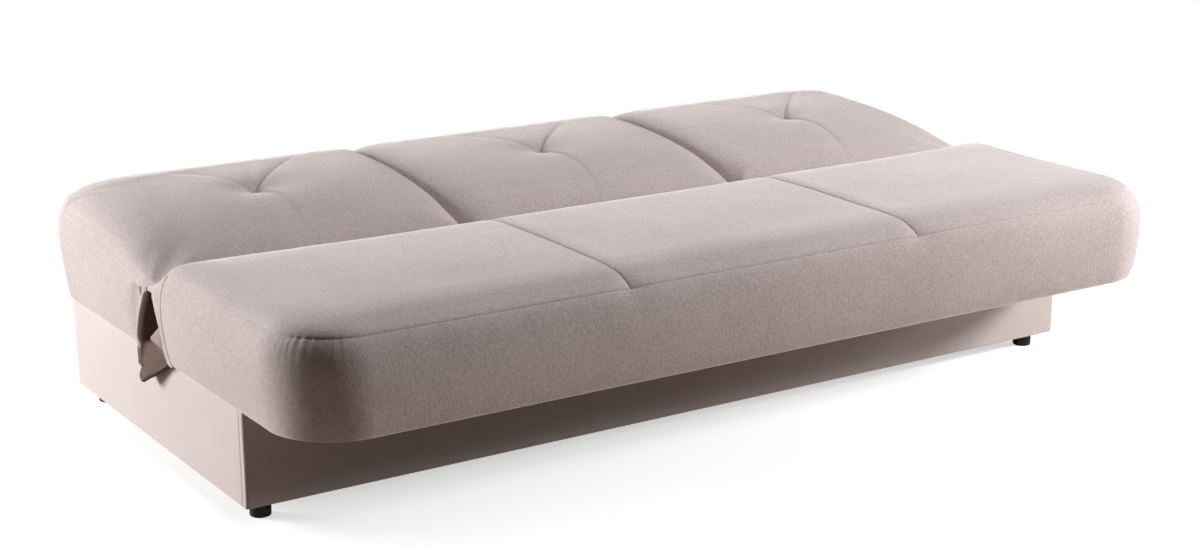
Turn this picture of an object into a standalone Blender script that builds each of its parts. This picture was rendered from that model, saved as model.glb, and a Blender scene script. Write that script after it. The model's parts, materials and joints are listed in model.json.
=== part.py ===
"""Armless sofa that opens flat into a bed, over a box for bedding.

The seat and the back meet at two ratchet hinges. Each hinge hangs on a carriage that
slides in a track inside the box, from the flat bed back over the box, while the back
swings up and the seat stays level.
Metres, +Z up, +X to the right seen from the front, -Y to the front.
The origin is under the middle of the sofa, on the floor. The sofa lies open, as a bed.
"""

import math

import bmesh
import bpy
from mathutils import Matrix, Vector

# Overall sizes of the two upholstered blocks
LENGTH = 1.950
SEAT_DEPTH = 0.562
BACK_DEPTH = 0.562
CREVICE = 0.006
SEAT_EDGE_HEIGHT = 0.400
BACK_EDGE_HEIGHT = 0.403
BACK_REAR_HEIGHT = 0.437

# Soft outline of the seat
SEAT_FRONT_CORNER = 0.140
SEAT_REAR_ROUND = 0.060
SEAT_CROWN = 0.012
SEAT_SEAM_DROP = 0.008
SEAT_SEAM_INSET = 0.030
SEAT_FOOT_INSET = 0.014
SEAT_SEAM_DEPTH = 0.006

# Soft outline of the back
BACK_REAR_CORNER = 0.090
BACK_FRONT_ROUND = 0.090
BACK_REAR_ROUND = 0.034
BACK_CROWN = 0.006
BACK_UNDERCUT = 0.127
BACK_UNDERCUT_BEND = 0.36
BACK_FOOT_INSET = 0.016
CHANNEL_DEPTH = 0.019
CHANNEL_WIDTH = 0.026
TUFT_DEPTH = 0.016
TUFT_WIDTH = 0.045
TUFT_FROM_CREVICE = 0.285

# Soft outline shared by both blocks
END_ROUND = 0.045
END_PLAN_ROUND = 0.030
END_DRAW_IN = 0.013
SECTION_COUNT = 3
STATION_SPACING = 0.105

# Box for bedding
BOX_END_INSET = 0.033
BOX_FRONT_INSET = 0.278
BOX_REAR_INSET = 0.043
BOX_TOP = 0.2205
BOARD = 0.018
BOX_FLOOR = 0.003
BOX_CLOTH = 0.0015
CORNER_BLOCK = 0.045
CORNER_BLOCK_HEIGHT = 0.160
FOOT_HEIGHT = 0.033
FOOT_RADIUS = 0.0205
FOOT_TAPER = 0.0015
FOOT_RIM = 0.004
FOOT_ROUND = 0.002
FOOT_INSET = 0.042

# Upholstery frames
RAIL_THICKNESS = 0.022
RAIL_HEIGHT = 0.065
RAIL_EDGE = 0.002
FRONT_WADDING = 0.035
REAR_WADDING = 0.028
DUST_CLOTH = 0.001
FRAME_END_INSET = 0.076
SPRING_WIRE = 0.0018
SPRING_ARCH = 0.005
SPRING_SWING = 0.021
SPRING_BENDS = 9
SPRING_PLACES = (0.300, 0.590)
SEAT_FOAM = 0.086
BACK_FOAM = 0.074
FOAM_CHAMFER = 0.024

# Cords that pull the tufts down
TIE_RADIUS = 0.0014
TIE_KNOT_GAP = 0.004
WASHER_RADIUS = 0.014
WASHER_THICKNESS = 0.002

# Folding hardware
HINGE_Z = 0.366
SLIDE_TRAVEL = 0.270
HINGE_PLATE = 0.004
CARRIAGE_PLATE = 0.005
CARRIAGE_FOOT = 0.062
CARRIAGE_CORNER = 0.006
CARRIAGE_WINDOW = 0.007
TRACK_DROP = 0.018
TRACK_HEIGHT = 0.020
TRACK_WALL = 0.0015
TRACK_END = 0.006
TRACK_CLEARANCE = 0.0005
TRACK_MOUTH_GAP = 0.0008
SHOE_LENGTH = 0.080
SHOE_CORNER = 0.003
SHOE_POCKET = 0.010
PLATE_GAP = 0.0004
EYE_RADIUS = 0.012
RATCHET_RADIUS = 0.016
RATCHET_NOTCHES = 14
RATCHET_NOTCH = 0.0014
PIN_RADIUS = 0.005
PIN_HEAD = 0.008
PIN_HEAD_THICKNESS = 0.0022
PIN_HEAD_CHAMFER = 0.0006
ARM_PAD = 0.017
ARM_PAD_DROP = 0.113
ARM_WINDOW = 0.005
ARM_WINDOW_MARGIN = 0.015
SCREW_RADIUS = 0.0028
SCREW_DROP = 0.004
SEAT_ARM_REACH = (0.115, 0.200)
BACK_ARM_REACH = (0.195, 0.280)
SLOT_RISE = 0.020
SLOT_MARGIN = 0.030

# Side gussets between seat and back
GUSSET_CLOTH = 0.0012
GUSSET_FOLDS = 6
GUSSET_SWAY = 0.007
GUSSET_TOP_DROP = 0.010
GUSSET_TUCK = 0.006
GUSSET_HEM_Z = 0.158
GUSSET_HEM_LEAN = 1.6
GUSSET_INSET = 0.020

# Clearances
TOUCH = 0.0003
BORE_GAP = 0.0003
SKIN_GAP = 0.0008

HALF = LENGTH / 2
SEAT_FRONT = -CREVICE / 2 - SEAT_DEPTH
SEAT_REAR = -CREVICE / 2
BACK_FRONT = CREVICE / 2
BACK_REAR = CREVICE / 2 + BACK_DEPTH
BLOCK_BOTTOM = BOX_TOP + TOUCH
CHANNEL_X = LENGTH / (2 * SECTION_COUNT)
TUFT_X = LENGTH / SECTION_COUNT

BOX_X = HALF - BOX_END_INSET
BOX_FRONT = SEAT_FRONT + BOX_FRONT_INSET
BOX_REAR = BACK_REAR - BOX_REAR_INSET
BOX_BOTTOM = FOOT_HEIGHT + TOUCH
BOARD_X = BOX_X - BOX_CLOTH - TOUCH
BOARD_FRONT = BOX_FRONT + BOX_CLOTH + TOUCH
BOARD_REAR = BOX_REAR - BOX_CLOTH - TOUCH
BOARD_BOTTOM = BOX_BOTTOM + BOX_FLOOR + TOUCH
INNER_X = BOARD_X - BOARD

RAIL_X = HALF - FRAME_END_INSET
RAIL_BOTTOM = BLOCK_BOTTOM + DUST_CLOTH + TOUCH
RAIL_TOP = RAIL_BOTTOM + RAIL_HEIGHT
SPRING_Z = RAIL_TOP + TOUCH + SPRING_WIRE
FOAM_BOTTOM = SPRING_Z + SPRING_ARCH + SPRING_WIRE + TOUCH
SEAT_FOAM_TOP = FOAM_BOTTOM + SEAT_FOAM

COLLECTION = "armless_sofa"


def clear_scene():
    """Remove the objects that a new file starts with."""
    for obj in list(bpy.data.objects):
        bpy.data.objects.remove(obj, do_unlink=True)


def new_collection(name):
    """Make a collection in the scene."""
    made = bpy.data.collections.new(name)
    bpy.context.scene.collection.children.link(made)
    return made


def material(name, color, roughness, metallic=0.0):
    """Make a Principled material of one colour."""
    made = bpy.data.materials.new(name)
    made.use_nodes = True
    shader = made.node_tree.nodes["Principled BSDF"]
    shader.inputs["Base Color"].default_value = (*color, 1.0)
    shader.inputs["Roughness"].default_value = roughness
    shader.inputs["Metallic"].default_value = metallic
    made.diffuse_color = (*color, 1.0)
    return made


FINISHES = {
    "velour": ((0.52, 0.46, 0.44), 0.9, 0.0),
    "base_cloth": ((0.60, 0.53, 0.50), 0.9, 0.0),
    "lining": ((0.16, 0.15, 0.15), 0.95, 0.0),
    "foam": ((0.85, 0.78, 0.55), 0.95, 0.0),
    "pine": ((0.62, 0.43, 0.24), 0.7, 0.0),
    "board": ((0.55, 0.42, 0.28), 0.75, 0.0),
    "steel": ((0.35, 0.35, 0.36), 0.4, 1.0),
    "plastic": ((0.02, 0.02, 0.02), 0.5, 0.0),
    "nylon": ((0.82, 0.82, 0.78), 0.45, 0.0),
    "twine": ((0.75, 0.70, 0.62), 0.9, 0.0),
}


def dress(obj, finish):
    """Give an object a material of its own, named for both."""
    color, roughness, metallic = FINISHES[finish]
    obj.data.materials.clear()
    obj.data.materials.append(material(f"{obj.name}_{finish}", color, roughness, metallic))


def add_mesh(name, bm, finish=None, helper=False):
    """Put a bmesh into the scene as an object of this name."""
    mesh = bpy.data.meshes.new(name)
    bmesh.ops.recalc_face_normals(bm, faces=bm.faces)
    bm.to_mesh(mesh)
    bm.free()
    obj = bpy.data.objects.new(name, mesh)
    (CUTTERS if helper else PARTS).objects.link(obj)
    if helper:
        obj.hide_render = True
        obj.display_type = "WIRE"
    if finish:
        dress(obj, finish)
    return obj


def set_origin(obj, point):
    """Move an object's origin without moving its shape."""
    obj.data.transform(Matrix.Translation(-Vector(point)))
    obj.location = point


def board(name, low, high, finish, edge=0.001):
    """Make a board between two corners, with slightly broken edges."""
    bm = bmesh.new()
    bmesh.ops.create_cube(bm, size=1.0)
    size = Vector(high) - Vector(low)
    bmesh.ops.scale(bm, vec=size, verts=bm.verts)
    bmesh.ops.translate(bm, vec=(Vector(low) + Vector(high)) / 2, verts=bm.verts)
    obj = add_mesh(name, bm, finish)
    if edge:
        bevel = obj.modifiers.new("broken_edges", "BEVEL")
        bevel.width = min(edge, min(size) / 3)
        bevel.segments = 1
    return obj


def outline_object(name, loops, thickness, finish):
    """Make a flat plate from closed loops of points; an inner loop is a hole."""
    curve = bpy.data.curves.new(name, "CURVE")
    curve.dimensions = "2D"
    curve.fill_mode = "BOTH"
    curve.extrude = thickness / 2
    for loop in loops:
        spline = curve.splines.new("POLY")
        spline.points.add(len(loop) - 1)
        for point, (u, v) in zip(spline.points, loop):
            point.co = (u, v, 0.0, 1.0)
        spline.use_cyclic_u = True
    obj = bpy.data.objects.new(name, curve)
    PARTS.objects.link(obj)
    dress(obj, finish)
    return obj


def upright_plate(name, loops, x_range, pivot, finish):
    """Stand a plate across the sofa; its loops hold (y, z) measured from the pivot."""
    obj = outline_object(name, loops, x_range[1] - x_range[0], finish)
    obj.rotation_euler = (math.pi / 2, 0.0, math.pi / 2)
    obj.location = ((x_range[0] + x_range[1]) / 2, pivot[0], pivot[1])
    return obj


def turned(name, profile, finish, steps=24):
    """Turn a profile of (radius, height) points, listed from the top down, about Z."""
    bm = bmesh.new()
    points = [bm.verts.new((radius, 0.0, height)) for radius, height in profile]
    for first, second in zip(points, points[1:]):
        bm.edges.new((first, second))
    mesh = bpy.data.meshes.new(name)
    bm.to_mesh(mesh)
    bm.free()
    obj = bpy.data.objects.new(name, mesh)
    PARTS.objects.link(obj)
    screw = obj.modifiers.new("turn", "SCREW")
    screw.steps = steps
    screw.render_steps = steps
    screw.use_merge_vertices = True
    screw.merge_threshold = 0.00001
    screw.use_smooth_shade = True
    dress(obj, finish)
    return obj


def prism(name, outline, x_range, helper=True, finish=None):
    """Make a solid from a (y, z) outline that runs between two places along X."""
    bm = bmesh.new()
    face = bm.faces.new([bm.verts.new((x_range[0], y, z)) for y, z in outline])
    swept = bmesh.ops.extrude_face_region(bm, geom=[face])
    moved = [item for item in swept["geom"] if isinstance(item, bmesh.types.BMVert)]
    bmesh.ops.translate(bm, vec=(x_range[1] - x_range[0], 0.0, 0.0), verts=moved)
    return add_mesh(name, bm, finish, helper)


def cut(obj, cutter):
    """Cut one object from another."""
    boolean = obj.modifiers.new(f"less_{cutter.name}", "BOOLEAN")
    boolean.operation = "DIFFERENCE"
    boolean.solver = "EXACT"
    boolean.object = cutter
    return boolean


def circle(centre, radius, count, phase=0.0):
    """Points round a circle, as (u, v) pairs."""
    turn = 2 * math.pi / count
    return [
        (centre[0] + radius * math.cos(phase + turn * i), centre[1] + radius * math.sin(phase + turn * i))
        for i in range(count)
    ]


def wrap(points):
    """The convex outline round some points, counter-clockwise."""
    ordered = sorted(set(points))

    def chain(run):
        kept = []
        for point in run:
            while len(kept) > 1:
                (ax, ay), (bx, by) = kept[-2], kept[-1]
                if (bx - ax) * (point[1] - ay) - (by - ay) * (point[0] - ax) > 0:
                    break
                kept.pop()
            kept.append(point)
        return kept[:-1]

    return chain(ordered) + chain(reversed(ordered))


def arc(centre, radius, start, end, count):
    """Points on an arc in the (y, z) plane, between two angles in degrees."""
    steps = [math.radians(start + (end - start) * i / (count - 1)) for i in range(count)]
    return [(centre[0] + radius * math.cos(a), centre[1] + radius * math.sin(a)) for a in steps]


def clip_above(outline, level):
    """The part of an outline that lies above a level."""
    kept = []
    for (ay, az), (by, bz) in zip(outline, outline[1:] + outline[:1]):
        if az >= level:
            kept.append((ay, az))
        if (az - level) * (bz - level) < 0:
            share = (level - az) / (bz - az)
            kept.append((ay + (by - ay) * share, level))
    return kept


def inset(outline, distance):
    """A convex outline with every side moved inwards."""
    middle = Vector((sum(y for y, _ in outline), sum(z for _, z in outline))) / len(outline)
    lines = []
    for start, end in zip(outline, outline[1:] + outline[:1]):
        along = (Vector(end) - Vector(start)).normalized()
        inward = Vector((-along.y, along.x))
        if inward.dot(middle - Vector(start)) < 0:
            inward = -inward
        lines.append((Vector(start) + inward * distance, along))
    moved = []
    for (a, u), (b, v) in zip([lines[-1], *lines], lines):
        share = (b - a).cross(v) / u.cross(v)
        moved.append(tuple(a + u * share))
    return moved


def edge_fall(x, radius):
    """How far a quarter-round edge at the sofa's end has fallen at x."""
    into = min(1.0, max(0.0, abs(x) - (HALF - radius)) / radius)
    return radius * (1 - math.sqrt(1 - into * into))


def dip(distance, width):
    """A smooth dip, 1 at its middle and about 0 beyond its width."""
    return math.exp(-((2.2 * distance / width) ** 2))


def stations(corner, marks, widest):
    """Places along X for the sections: close at the ends and round each mark."""
    turns = [math.radians(90 * i / 6) for i in range(7)]
    ends = [HALF - corner * (1 - math.sin(turn)) for turn in turns]
    close = {mark + side * width / 2 for mark, width in marks for side in (-2, -1, 0, 1, 2)}
    inner = sorted({0.0, ends[0]} | {place for place in close if place >= 0})
    filled = [inner[0]]
    for place in inner[1:]:
        gap = place - filled[-1]
        count = max(1, math.ceil(gap / widest))
        filled += [filled[-1] + gap * i / count for i in range(1, count + 1)]
    half = [place for place in filled if place < ends[0] - 1e-9] + ends
    return [-place for place in reversed(half[1:])] + half


def draw_in(x, level, widest):
    """How far the end has drawn in at a level, from 0 at its widest level to the bottom."""
    near_end = min(1.0, max(0.0, (abs(x) - (HALF - SEAT_FRONT_CORNER)) / SEAT_FRONT_CORNER))
    low = 1 - (level - BLOCK_BOTTOM) / (widest - BLOCK_BOTTOM)
    return END_DRAW_IN * min(1.0, max(0.0, low)) * near_end


def draw_in_ends(x, points, widest):
    """Pull the ends in below their widest level, to where the cloth is stapled to the frame."""
    return [(x - math.copysign(draw_in(x, z, widest), x), y, z) for y, z in points]


def seat_section(x):
    """The seat's outline at x: front border, crowned top, round rear edge, bottom."""
    fall = edge_fall(x, END_ROUND)
    front = SEAT_FRONT + edge_fall(x, SEAT_FRONT_CORNER)
    rear = SEAT_REAR - edge_fall(x, END_PLAN_ROUND)
    edge = SEAT_EDGE_HEIGHT - fall
    seam = edge - SEAT_SEAM_DROP
    points = []
    for step in range(5):
        share = step / 4
        below = max(0.0, 1 - 2 * share)
        above = max(0.0, 2 * share - 1)
        inset = SEAT_FOOT_INSET * below**2 + SEAT_SEAM_INSET * above**2
        points.append((front + inset, BLOCK_BOTTOM + share * (seam - BLOCK_BOTTOM)))
    start, finish = front + SEAT_SEAM_INSET, rear - SEAT_REAR_ROUND
    seam_dip = SEAT_SEAM_DEPTH * dip(abs(x) - CHANNEL_X, CHANNEL_WIDTH)
    for step in range(1, 8):
        share = step / 8
        crown = SEAT_CROWN * math.sin(math.pi * share) ** 0.7
        level = seam + (edge - seam) * share
        points.append((start + (finish - start) * share, level + crown - seam_dip))
    points += arc((finish, edge - SEAT_REAR_ROUND), SEAT_REAR_ROUND, 90, 0, 5)
    points.append((rear, BLOCK_BOTTOM))
    return draw_in_ends(x, points, SEAT_EDGE_HEIGHT - END_ROUND)


def back_section(x):
    """The back's outline at x: undercut, puffed front edge, sloping top, rear border."""
    fall = edge_fall(x, END_ROUND)
    front = BACK_FRONT + edge_fall(x, END_PLAN_ROUND)
    rear = BACK_REAR - edge_fall(x, BACK_REAR_CORNER)
    near = BACK_EDGE_HEIGHT - fall
    far = BACK_REAR_HEIGHT - fall
    channel = CHANNEL_DEPTH * dip(abs(x) - CHANNEL_X, CHANNEL_WIDTH)
    chin = near - BACK_FRONT_ROUND
    bend = BACK_UNDERCUT_BEND
    points = [
        (front + BACK_UNDERCUT, BLOCK_BOTTOM),
        (front + BACK_UNDERCUT * bend, chin - (chin - BLOCK_BOTTOM) * bend),
    ]
    start, finish = front + BACK_FRONT_ROUND, rear - BACK_REAR_ROUND
    edge = arc((start, chin), BACK_FRONT_ROUND - channel, 180, 90, 6)
    points += [(max(y, front), z) for y, z in edge]
    tuft_x = min(abs(abs(x) - TUFT_X), abs(x))
    for step in range(1, 9):
        share = step / 9
        y = start + (finish - start) * share
        crown = BACK_CROWN * math.sin(math.pi * share)
        tuft = TUFT_DEPTH * dip(math.hypot(tuft_x, y - TUFT_FROM_CREVICE), TUFT_WIDTH * 2)
        points.append((y, near + (far - near) * share + crown - channel - tuft))
    points += arc((finish, far - channel - BACK_REAR_ROUND), BACK_REAR_ROUND, 90, 0, 4)
    points.append((rear - BACK_FOOT_INSET, BLOCK_BOTTOM))
    return draw_in_ends(x, points, BACK_EDGE_HEIGHT - END_ROUND)


def loft(name, places, section, finish):
    """Skin a closed solid over the sections at these places."""
    bm = bmesh.new()
    rings = [[bm.verts.new(point) for point in section(x)] for x in places]
    count = len(rings[0])
    for first, second in zip(rings, rings[1:]):
        for i in range(count):
            j = (i + 1) % count
            bm.faces.new((first[i], first[j], second[j], second[i]))
    bm.faces.new(rings[0])
    bm.faces.new(list(reversed(rings[-1])))
    obj = add_mesh(name, bm, finish)
    obj.data.shade_smooth()
    obj.data.set_sharp_from_angle(angle=math.radians(50))
    return obj


def back_ceiling(y):
    """How high the hollow under the back's cover reaches, along its sloping top."""
    slope = (BACK_REAR_HEIGHT - BACK_EDGE_HEIGHT) / (BACK_DEPTH - BACK_FRONT_ROUND - BACK_REAR_ROUND)
    level_until = BACK_FRONT + REAR_WADDING + 2 * FOAM_CHAMFER
    return FOAM_BOTTOM + BACK_FOAM + TOUCH + slope * max(0.0, y - level_until)


def recess_outline(side):
    """The hollow under a cover that holds its frame and foam, as (y, z) points."""
    low = BLOCK_BOTTOM - SLOT_MARGIN
    if side == "seat":
        front, rear = SEAT_FRONT + FRONT_WADDING, SEAT_REAR - REAR_WADDING
        top = SEAT_FOAM_TOP + TOUCH
        return [
            (front, low),
            (front, top - FOAM_CHAMFER),
            (front + FOAM_CHAMFER, top),
            (rear - FOAM_CHAMFER, top),
            (rear, top - FOAM_CHAMFER),
            (rear, low),
        ]
    front, rear = BACK_FRONT + BACK_UNDERCUT + FOAM_CHAMFER, BACK_REAR - FRONT_WADDING
    nose = BACK_FRONT + FOAM_CHAMFER + REAR_WADDING
    return [
        (front, low),
        (front, RAIL_TOP + TOUCH),
        (nose, back_ceiling(nose) - FOAM_CHAMFER),
        (nose + FOAM_CHAMFER, back_ceiling(nose + FOAM_CHAMFER)),
        (rear, back_ceiling(rear)),
        (rear, low),
    ]


def slot_outline(side):
    """The pocket at each end that the hinge arm and the carriage move in, as (y, z) points."""
    reach, way = (SEAT_ARM_REACH, -1) if side == "seat" else (BACK_ARM_REACH, 1)
    far = way * (reach[1] + SLOT_MARGIN)
    points = [
        (-way * SLOT_MARGIN, SLOT_RISE),
        (0.0, SLOT_RISE),
        (far, SLOT_MARGIN - ARM_PAD_DROP),
        (far, BLOCK_BOTTOM - SLOT_MARGIN - HINGE_Z),
        (-way * SLOT_MARGIN, BLOCK_BOTTOM - SLOT_MARGIN - HINGE_Z),
    ]
    return [(y, z + HINGE_Z) for y, z in points]


# Plates of the folding hardware, from the frame out to the box, as (inner, outer) X
SEAT_ARM_X = (RAIL_X + TOUCH, RAIL_X + TOUCH + HINGE_PLATE)
BACK_ARM_X = (SEAT_ARM_X[1] + PLATE_GAP, SEAT_ARM_X[1] + PLATE_GAP + HINGE_PLATE)
RATCHET_X = (BACK_ARM_X[1] + PLATE_GAP, BACK_ARM_X[1] + PLATE_GAP + HINGE_PLATE)
CARRIAGE_X = (RATCHET_X[1] + PLATE_GAP, RATCHET_X[1] + PLATE_GAP + CARRIAGE_PLATE)
TRACK_X = (CARRIAGE_X[0] + CARRIAGE_X[1] - INNER_X + TOUCH, INNER_X - TOUCH)
SHOE_X = (TRACK_X[0] + TRACK_WALL + TRACK_CLEARANCE, TRACK_X[1] - TRACK_WALL - TRACK_CLEARANCE)
SLOT_X = (RAIL_X - PIN_HEAD_THICKNESS - 2 * SKIN_GAP, INNER_X)
HINGE = (0.0, HINGE_Z)

# Levels of the track and of the shoe that slides in it
TRACK_TOP = BOX_TOP - TRACK_DROP
TRACK_BOTTOM = TRACK_TOP - TRACK_HEIGHT
SHOE_TOP = TRACK_TOP - TRACK_WALL - TRACK_CLEARANCE
SHOE_BOTTOM = TRACK_BOTTOM + TRACK_WALL + TRACK_CLEARANCE


def sided(x_range, side):
    """An X range on the right, or its mirror image on the left."""
    return x_range if side == "right" else (-x_range[1], -x_range[0])


def make_box():
    """The bedding box: boards, floor, corner blocks, its cloth and its feet."""
    rim = [(BOARD_X, BOARD_FRONT), (BOARD_X, BOARD_REAR), (-BOARD_X, BOARD_REAR), (-BOARD_X, BOARD_FRONT)]
    skin = [(BOX_X, BOX_FRONT), (BOX_X, BOX_REAR), (-BOX_X, BOX_REAR), (-BOX_X, BOX_FRONT)]
    inner = [(math.copysign(BOX_X - BOX_CLOTH, x), y + math.copysign(TOUCH, y)) for x, y in rim]
    cloth = outline_object("base_cover", [skin, inner], BOX_TOP - BOX_BOTTOM, "base_cloth")
    cloth.location.z = (BOX_TOP + BOX_BOTTOM) / 2

    low = BOARD_BOTTOM
    floor_low = (-BOARD_X, BOARD_FRONT, BOX_BOTTOM)
    floor_high = (BOARD_X, BOARD_REAR, BOX_BOTTOM + BOX_FLOOR)
    board("base_floor", floor_low, floor_high, "board")
    for side, sign in (("left", -1), ("right", 1)):
        low_x, high_x = sorted((sign * INNER_X, sign * BOARD_X))
        board(f"base_board_{side}", (low_x, BOARD_FRONT, low), (high_x, BOARD_REAR, BOX_TOP), "board")
    cross = INNER_X - TOUCH
    for end, near in (("front", BOARD_FRONT), ("rear", BOARD_REAR - BOARD)):
        board(f"base_board_{end}", (-cross, near, low), (cross, near + BOARD, BOX_TOP), "board")

    block_top = low + CORNER_BLOCK_HEIGHT
    walls = (("front", BOARD_FRONT + BOARD + TOUCH, 1), ("rear", BOARD_REAR - BOARD - TOUCH, -1))
    for end, wall, way in walls:
        low_y, high_y = sorted((wall, wall + way * CORNER_BLOCK))
        foot_y = BOX_FRONT + FOOT_INSET if end == "front" else BOX_REAR - FOOT_INSET
        for side, sign in (("left", -1), ("right", 1)):
            low_x, high_x = sorted((sign * cross, sign * (cross - CORNER_BLOCK)))
            name = f"corner_block_{end}_{side}"
            board(name, (low_x, low_y, low), (high_x, high_y, block_top), "pine")
            make_foot(f"foot_{end}_{side}", (sign * (BOX_X - FOOT_INSET), foot_y, 0.0))


def make_foot(name, place):
    """A low turned foot: a wide rim at the top, a slight taper and a rounded sole."""
    sole = FOOT_RADIUS - FOOT_TAPER
    shoulder = FOOT_HEIGHT - FOOT_RIM
    profile = [
        (0.0, FOOT_HEIGHT),
        (FOOT_RADIUS, FOOT_HEIGHT),
        (FOOT_RADIUS, shoulder),
        (FOOT_RADIUS - FOOT_ROUND / 2, shoulder - FOOT_ROUND / 2),
        (sole, FOOT_ROUND),
        (sole - FOOT_ROUND / 3, FOOT_ROUND / 3),
        (sole - FOOT_ROUND, 0.0),
        (0.0, 0.0),
    ]
    foot = turned(name, profile, "plastic", steps=28)
    foot.location = place
    return foot


def make_spring(name, x, ends, low):
    """A zigzag wire spring, hooked over a rail at each end and arched between them."""
    curve = bpy.data.curves.new(name, "CURVE")
    curve.dimensions = "3D"
    curve.bevel_depth = SPRING_WIRE
    curve.bevel_resolution = 1
    curve.use_fill_caps = True
    count = SPRING_BENDS * 4
    spline = curve.splines.new("POLY")
    spline.points.add(count)
    for i, point in enumerate(spline.points):
        share = i / count
        swing = SPRING_SWING * math.sin(math.pi * SPRING_BENDS * share)
        rise = SPRING_ARCH * math.sin(math.pi * share)
        point.co = (swing, ends[0] + (ends[1] - ends[0]) * share, rise, 1.0)
    obj = bpy.data.objects.new(name, curve)
    obj.location = (x, 0.0, low)
    PARTS.objects.link(obj)
    dress(obj, "steel")
    return obj


def make_frame(block, front, rear):
    """Rails, springs and dust cloth of one block, whose rails lie between two Y places."""
    x_in = RAIL_X - RAIL_THICKNESS
    inner = (front + RAIL_THICKNESS + TOUCH, rear - RAIL_THICKNESS - TOUCH)
    half = RAIL_THICKNESS / 2
    rails = {
        "front": ((-RAIL_X, front), (RAIL_X, front + RAIL_THICKNESS)),
        "rear": ((-RAIL_X, rear - RAIL_THICKNESS), (RAIL_X, rear)),
        "left": ((-RAIL_X, inner[0]), (-x_in, inner[1])),
        "right": ((x_in, inner[0]), (RAIL_X, inner[1])),
        "middle": ((-half, inner[0]), (half, inner[1])),
    }
    for place, (low, high) in rails.items():
        name = f"{block}_rail_{place}"
        board(name, (*low, RAIL_BOTTOM), (*high, RAIL_TOP), "pine", RAIL_EDGE)
    ends = (front + half, rear - half)
    places = [-x for x in reversed(SPRING_PLACES)] + list(SPRING_PLACES)
    for number, x in enumerate(places, 1):
        make_spring(f"{block}_spring_{number}", x, ends, SPRING_Z)
    cloth_low = (-RAIL_X, front, BLOCK_BOTTOM)
    cloth_high = (RAIL_X, rear, BLOCK_BOTTOM + DUST_CLOTH)
    board(f"{block}_dust_cloth", cloth_low, cloth_high, "lining", 0.0)


def make_block(block, section, corner, marks):
    """The padded cover of one block, hollowed for its frame, foam and hinge arms."""
    cover = loft(f"{block}_cover", stations(corner, marks, STATION_SPACING), section, "velour")
    outline = recess_outline(block)
    room = RAIL_X + TOUCH / 2
    recess = prism(f"cut_{block}_recess", outline, (-room, room))
    cut(cover, recess)
    for side in ("left", "right"):
        slot = prism(f"cut_{block}_slot_{side}", slot_outline(block), sided(SLOT_X, side))
        cut(cover, slot)
    # The foam fills the top of the hollow, above the springs
    foam_x = SLOT_X[0] - TOUCH
    foam_outline = inset(clip_above(outline, FOAM_BOTTOM - TOUCH), TOUCH)
    prism(f"{block}_foam", foam_outline, (-foam_x, foam_x), helper=False, finish="foam")
    return cover


def make_ties():
    """The cords that pull the tufts down, each knotted to a washer under the springs."""
    foam = bpy.data.objects["back_foam"]
    bottom = SPRING_Z - WASHER_THICKNESS
    ceiling = back_ceiling(TUFT_FROM_CREVICE)
    top = ceiling - TIE_KNOT_GAP
    hole_levels = (bottom, ceiling + WASHER_RADIUS)
    for place, x in (("left", -TUFT_X), ("middle", RAIL_THICKNESS), ("right", TUFT_X)):
        hole = upright_cutter(f"cut_tie_{place}", (x, TUFT_FROM_CREVICE), TIE_RADIUS + TOUCH, hole_levels)
        cut(foam, hole)
        profile = [
            (0.0, top),
            (TIE_RADIUS, top),
            (TIE_RADIUS, bottom + WASHER_THICKNESS),
            (WASHER_RADIUS, bottom + WASHER_THICKNESS),
            (WASHER_RADIUS, bottom),
            (0.0, bottom),
        ]
        tie = turned(f"tuft_tie_{place}", profile, "twine", steps=10)
        tie.location = (x, TUFT_FROM_CREVICE, 0.0)


def upright_cutter(name, place, radius, z_range):
    """An upright round cutter."""
    bm = bmesh.new()
    depth = z_range[1] - z_range[0]
    bmesh.ops.create_cone(bm, cap_ends=True, segments=12, radius1=radius, radius2=radius, depth=depth)
    bmesh.ops.translate(bm, vec=(place[0], place[1], (z_range[0] + z_range[1]) / 2), verts=bm.verts)
    return add_mesh(name, bm, helper=True)


def make_carriage(side):
    """The plate that hangs a hinge on its track, from the pin's eye to the shoe."""
    foot = SHOE_TOP - SHOE_POCKET + TOUCH - HINGE_Z
    corner_y = CARRIAGE_FOOT / 2 - CARRIAGE_CORNER
    corners = [(way * corner_y, foot + CARRIAGE_CORNER) for way in (-1, 1)]
    rounds = [point for corner in corners for point in circle(corner, CARRIAGE_CORNER, 12)]
    outline = wrap(circle((0.0, 0.0), EYE_RADIUS, 20) + rounds)
    rim = BOX_TOP - HINGE_Z
    window = wrap(
        circle((0.0, rim / 2), CARRIAGE_WINDOW, 12)
        + circle((-CARRIAGE_WINDOW, rim), CARRIAGE_WINDOW, 12)
        + circle((CARRIAGE_WINDOW, rim), CARRIAGE_WINDOW, 12)
    )
    loops = [outline, circle((0.0, 0.0), PIN_RADIUS + BORE_GAP, 16), window]
    return upright_plate(f"hinge_carriage_{side}", loops, sided(CARRIAGE_X, side), HINGE, "steel")


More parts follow.
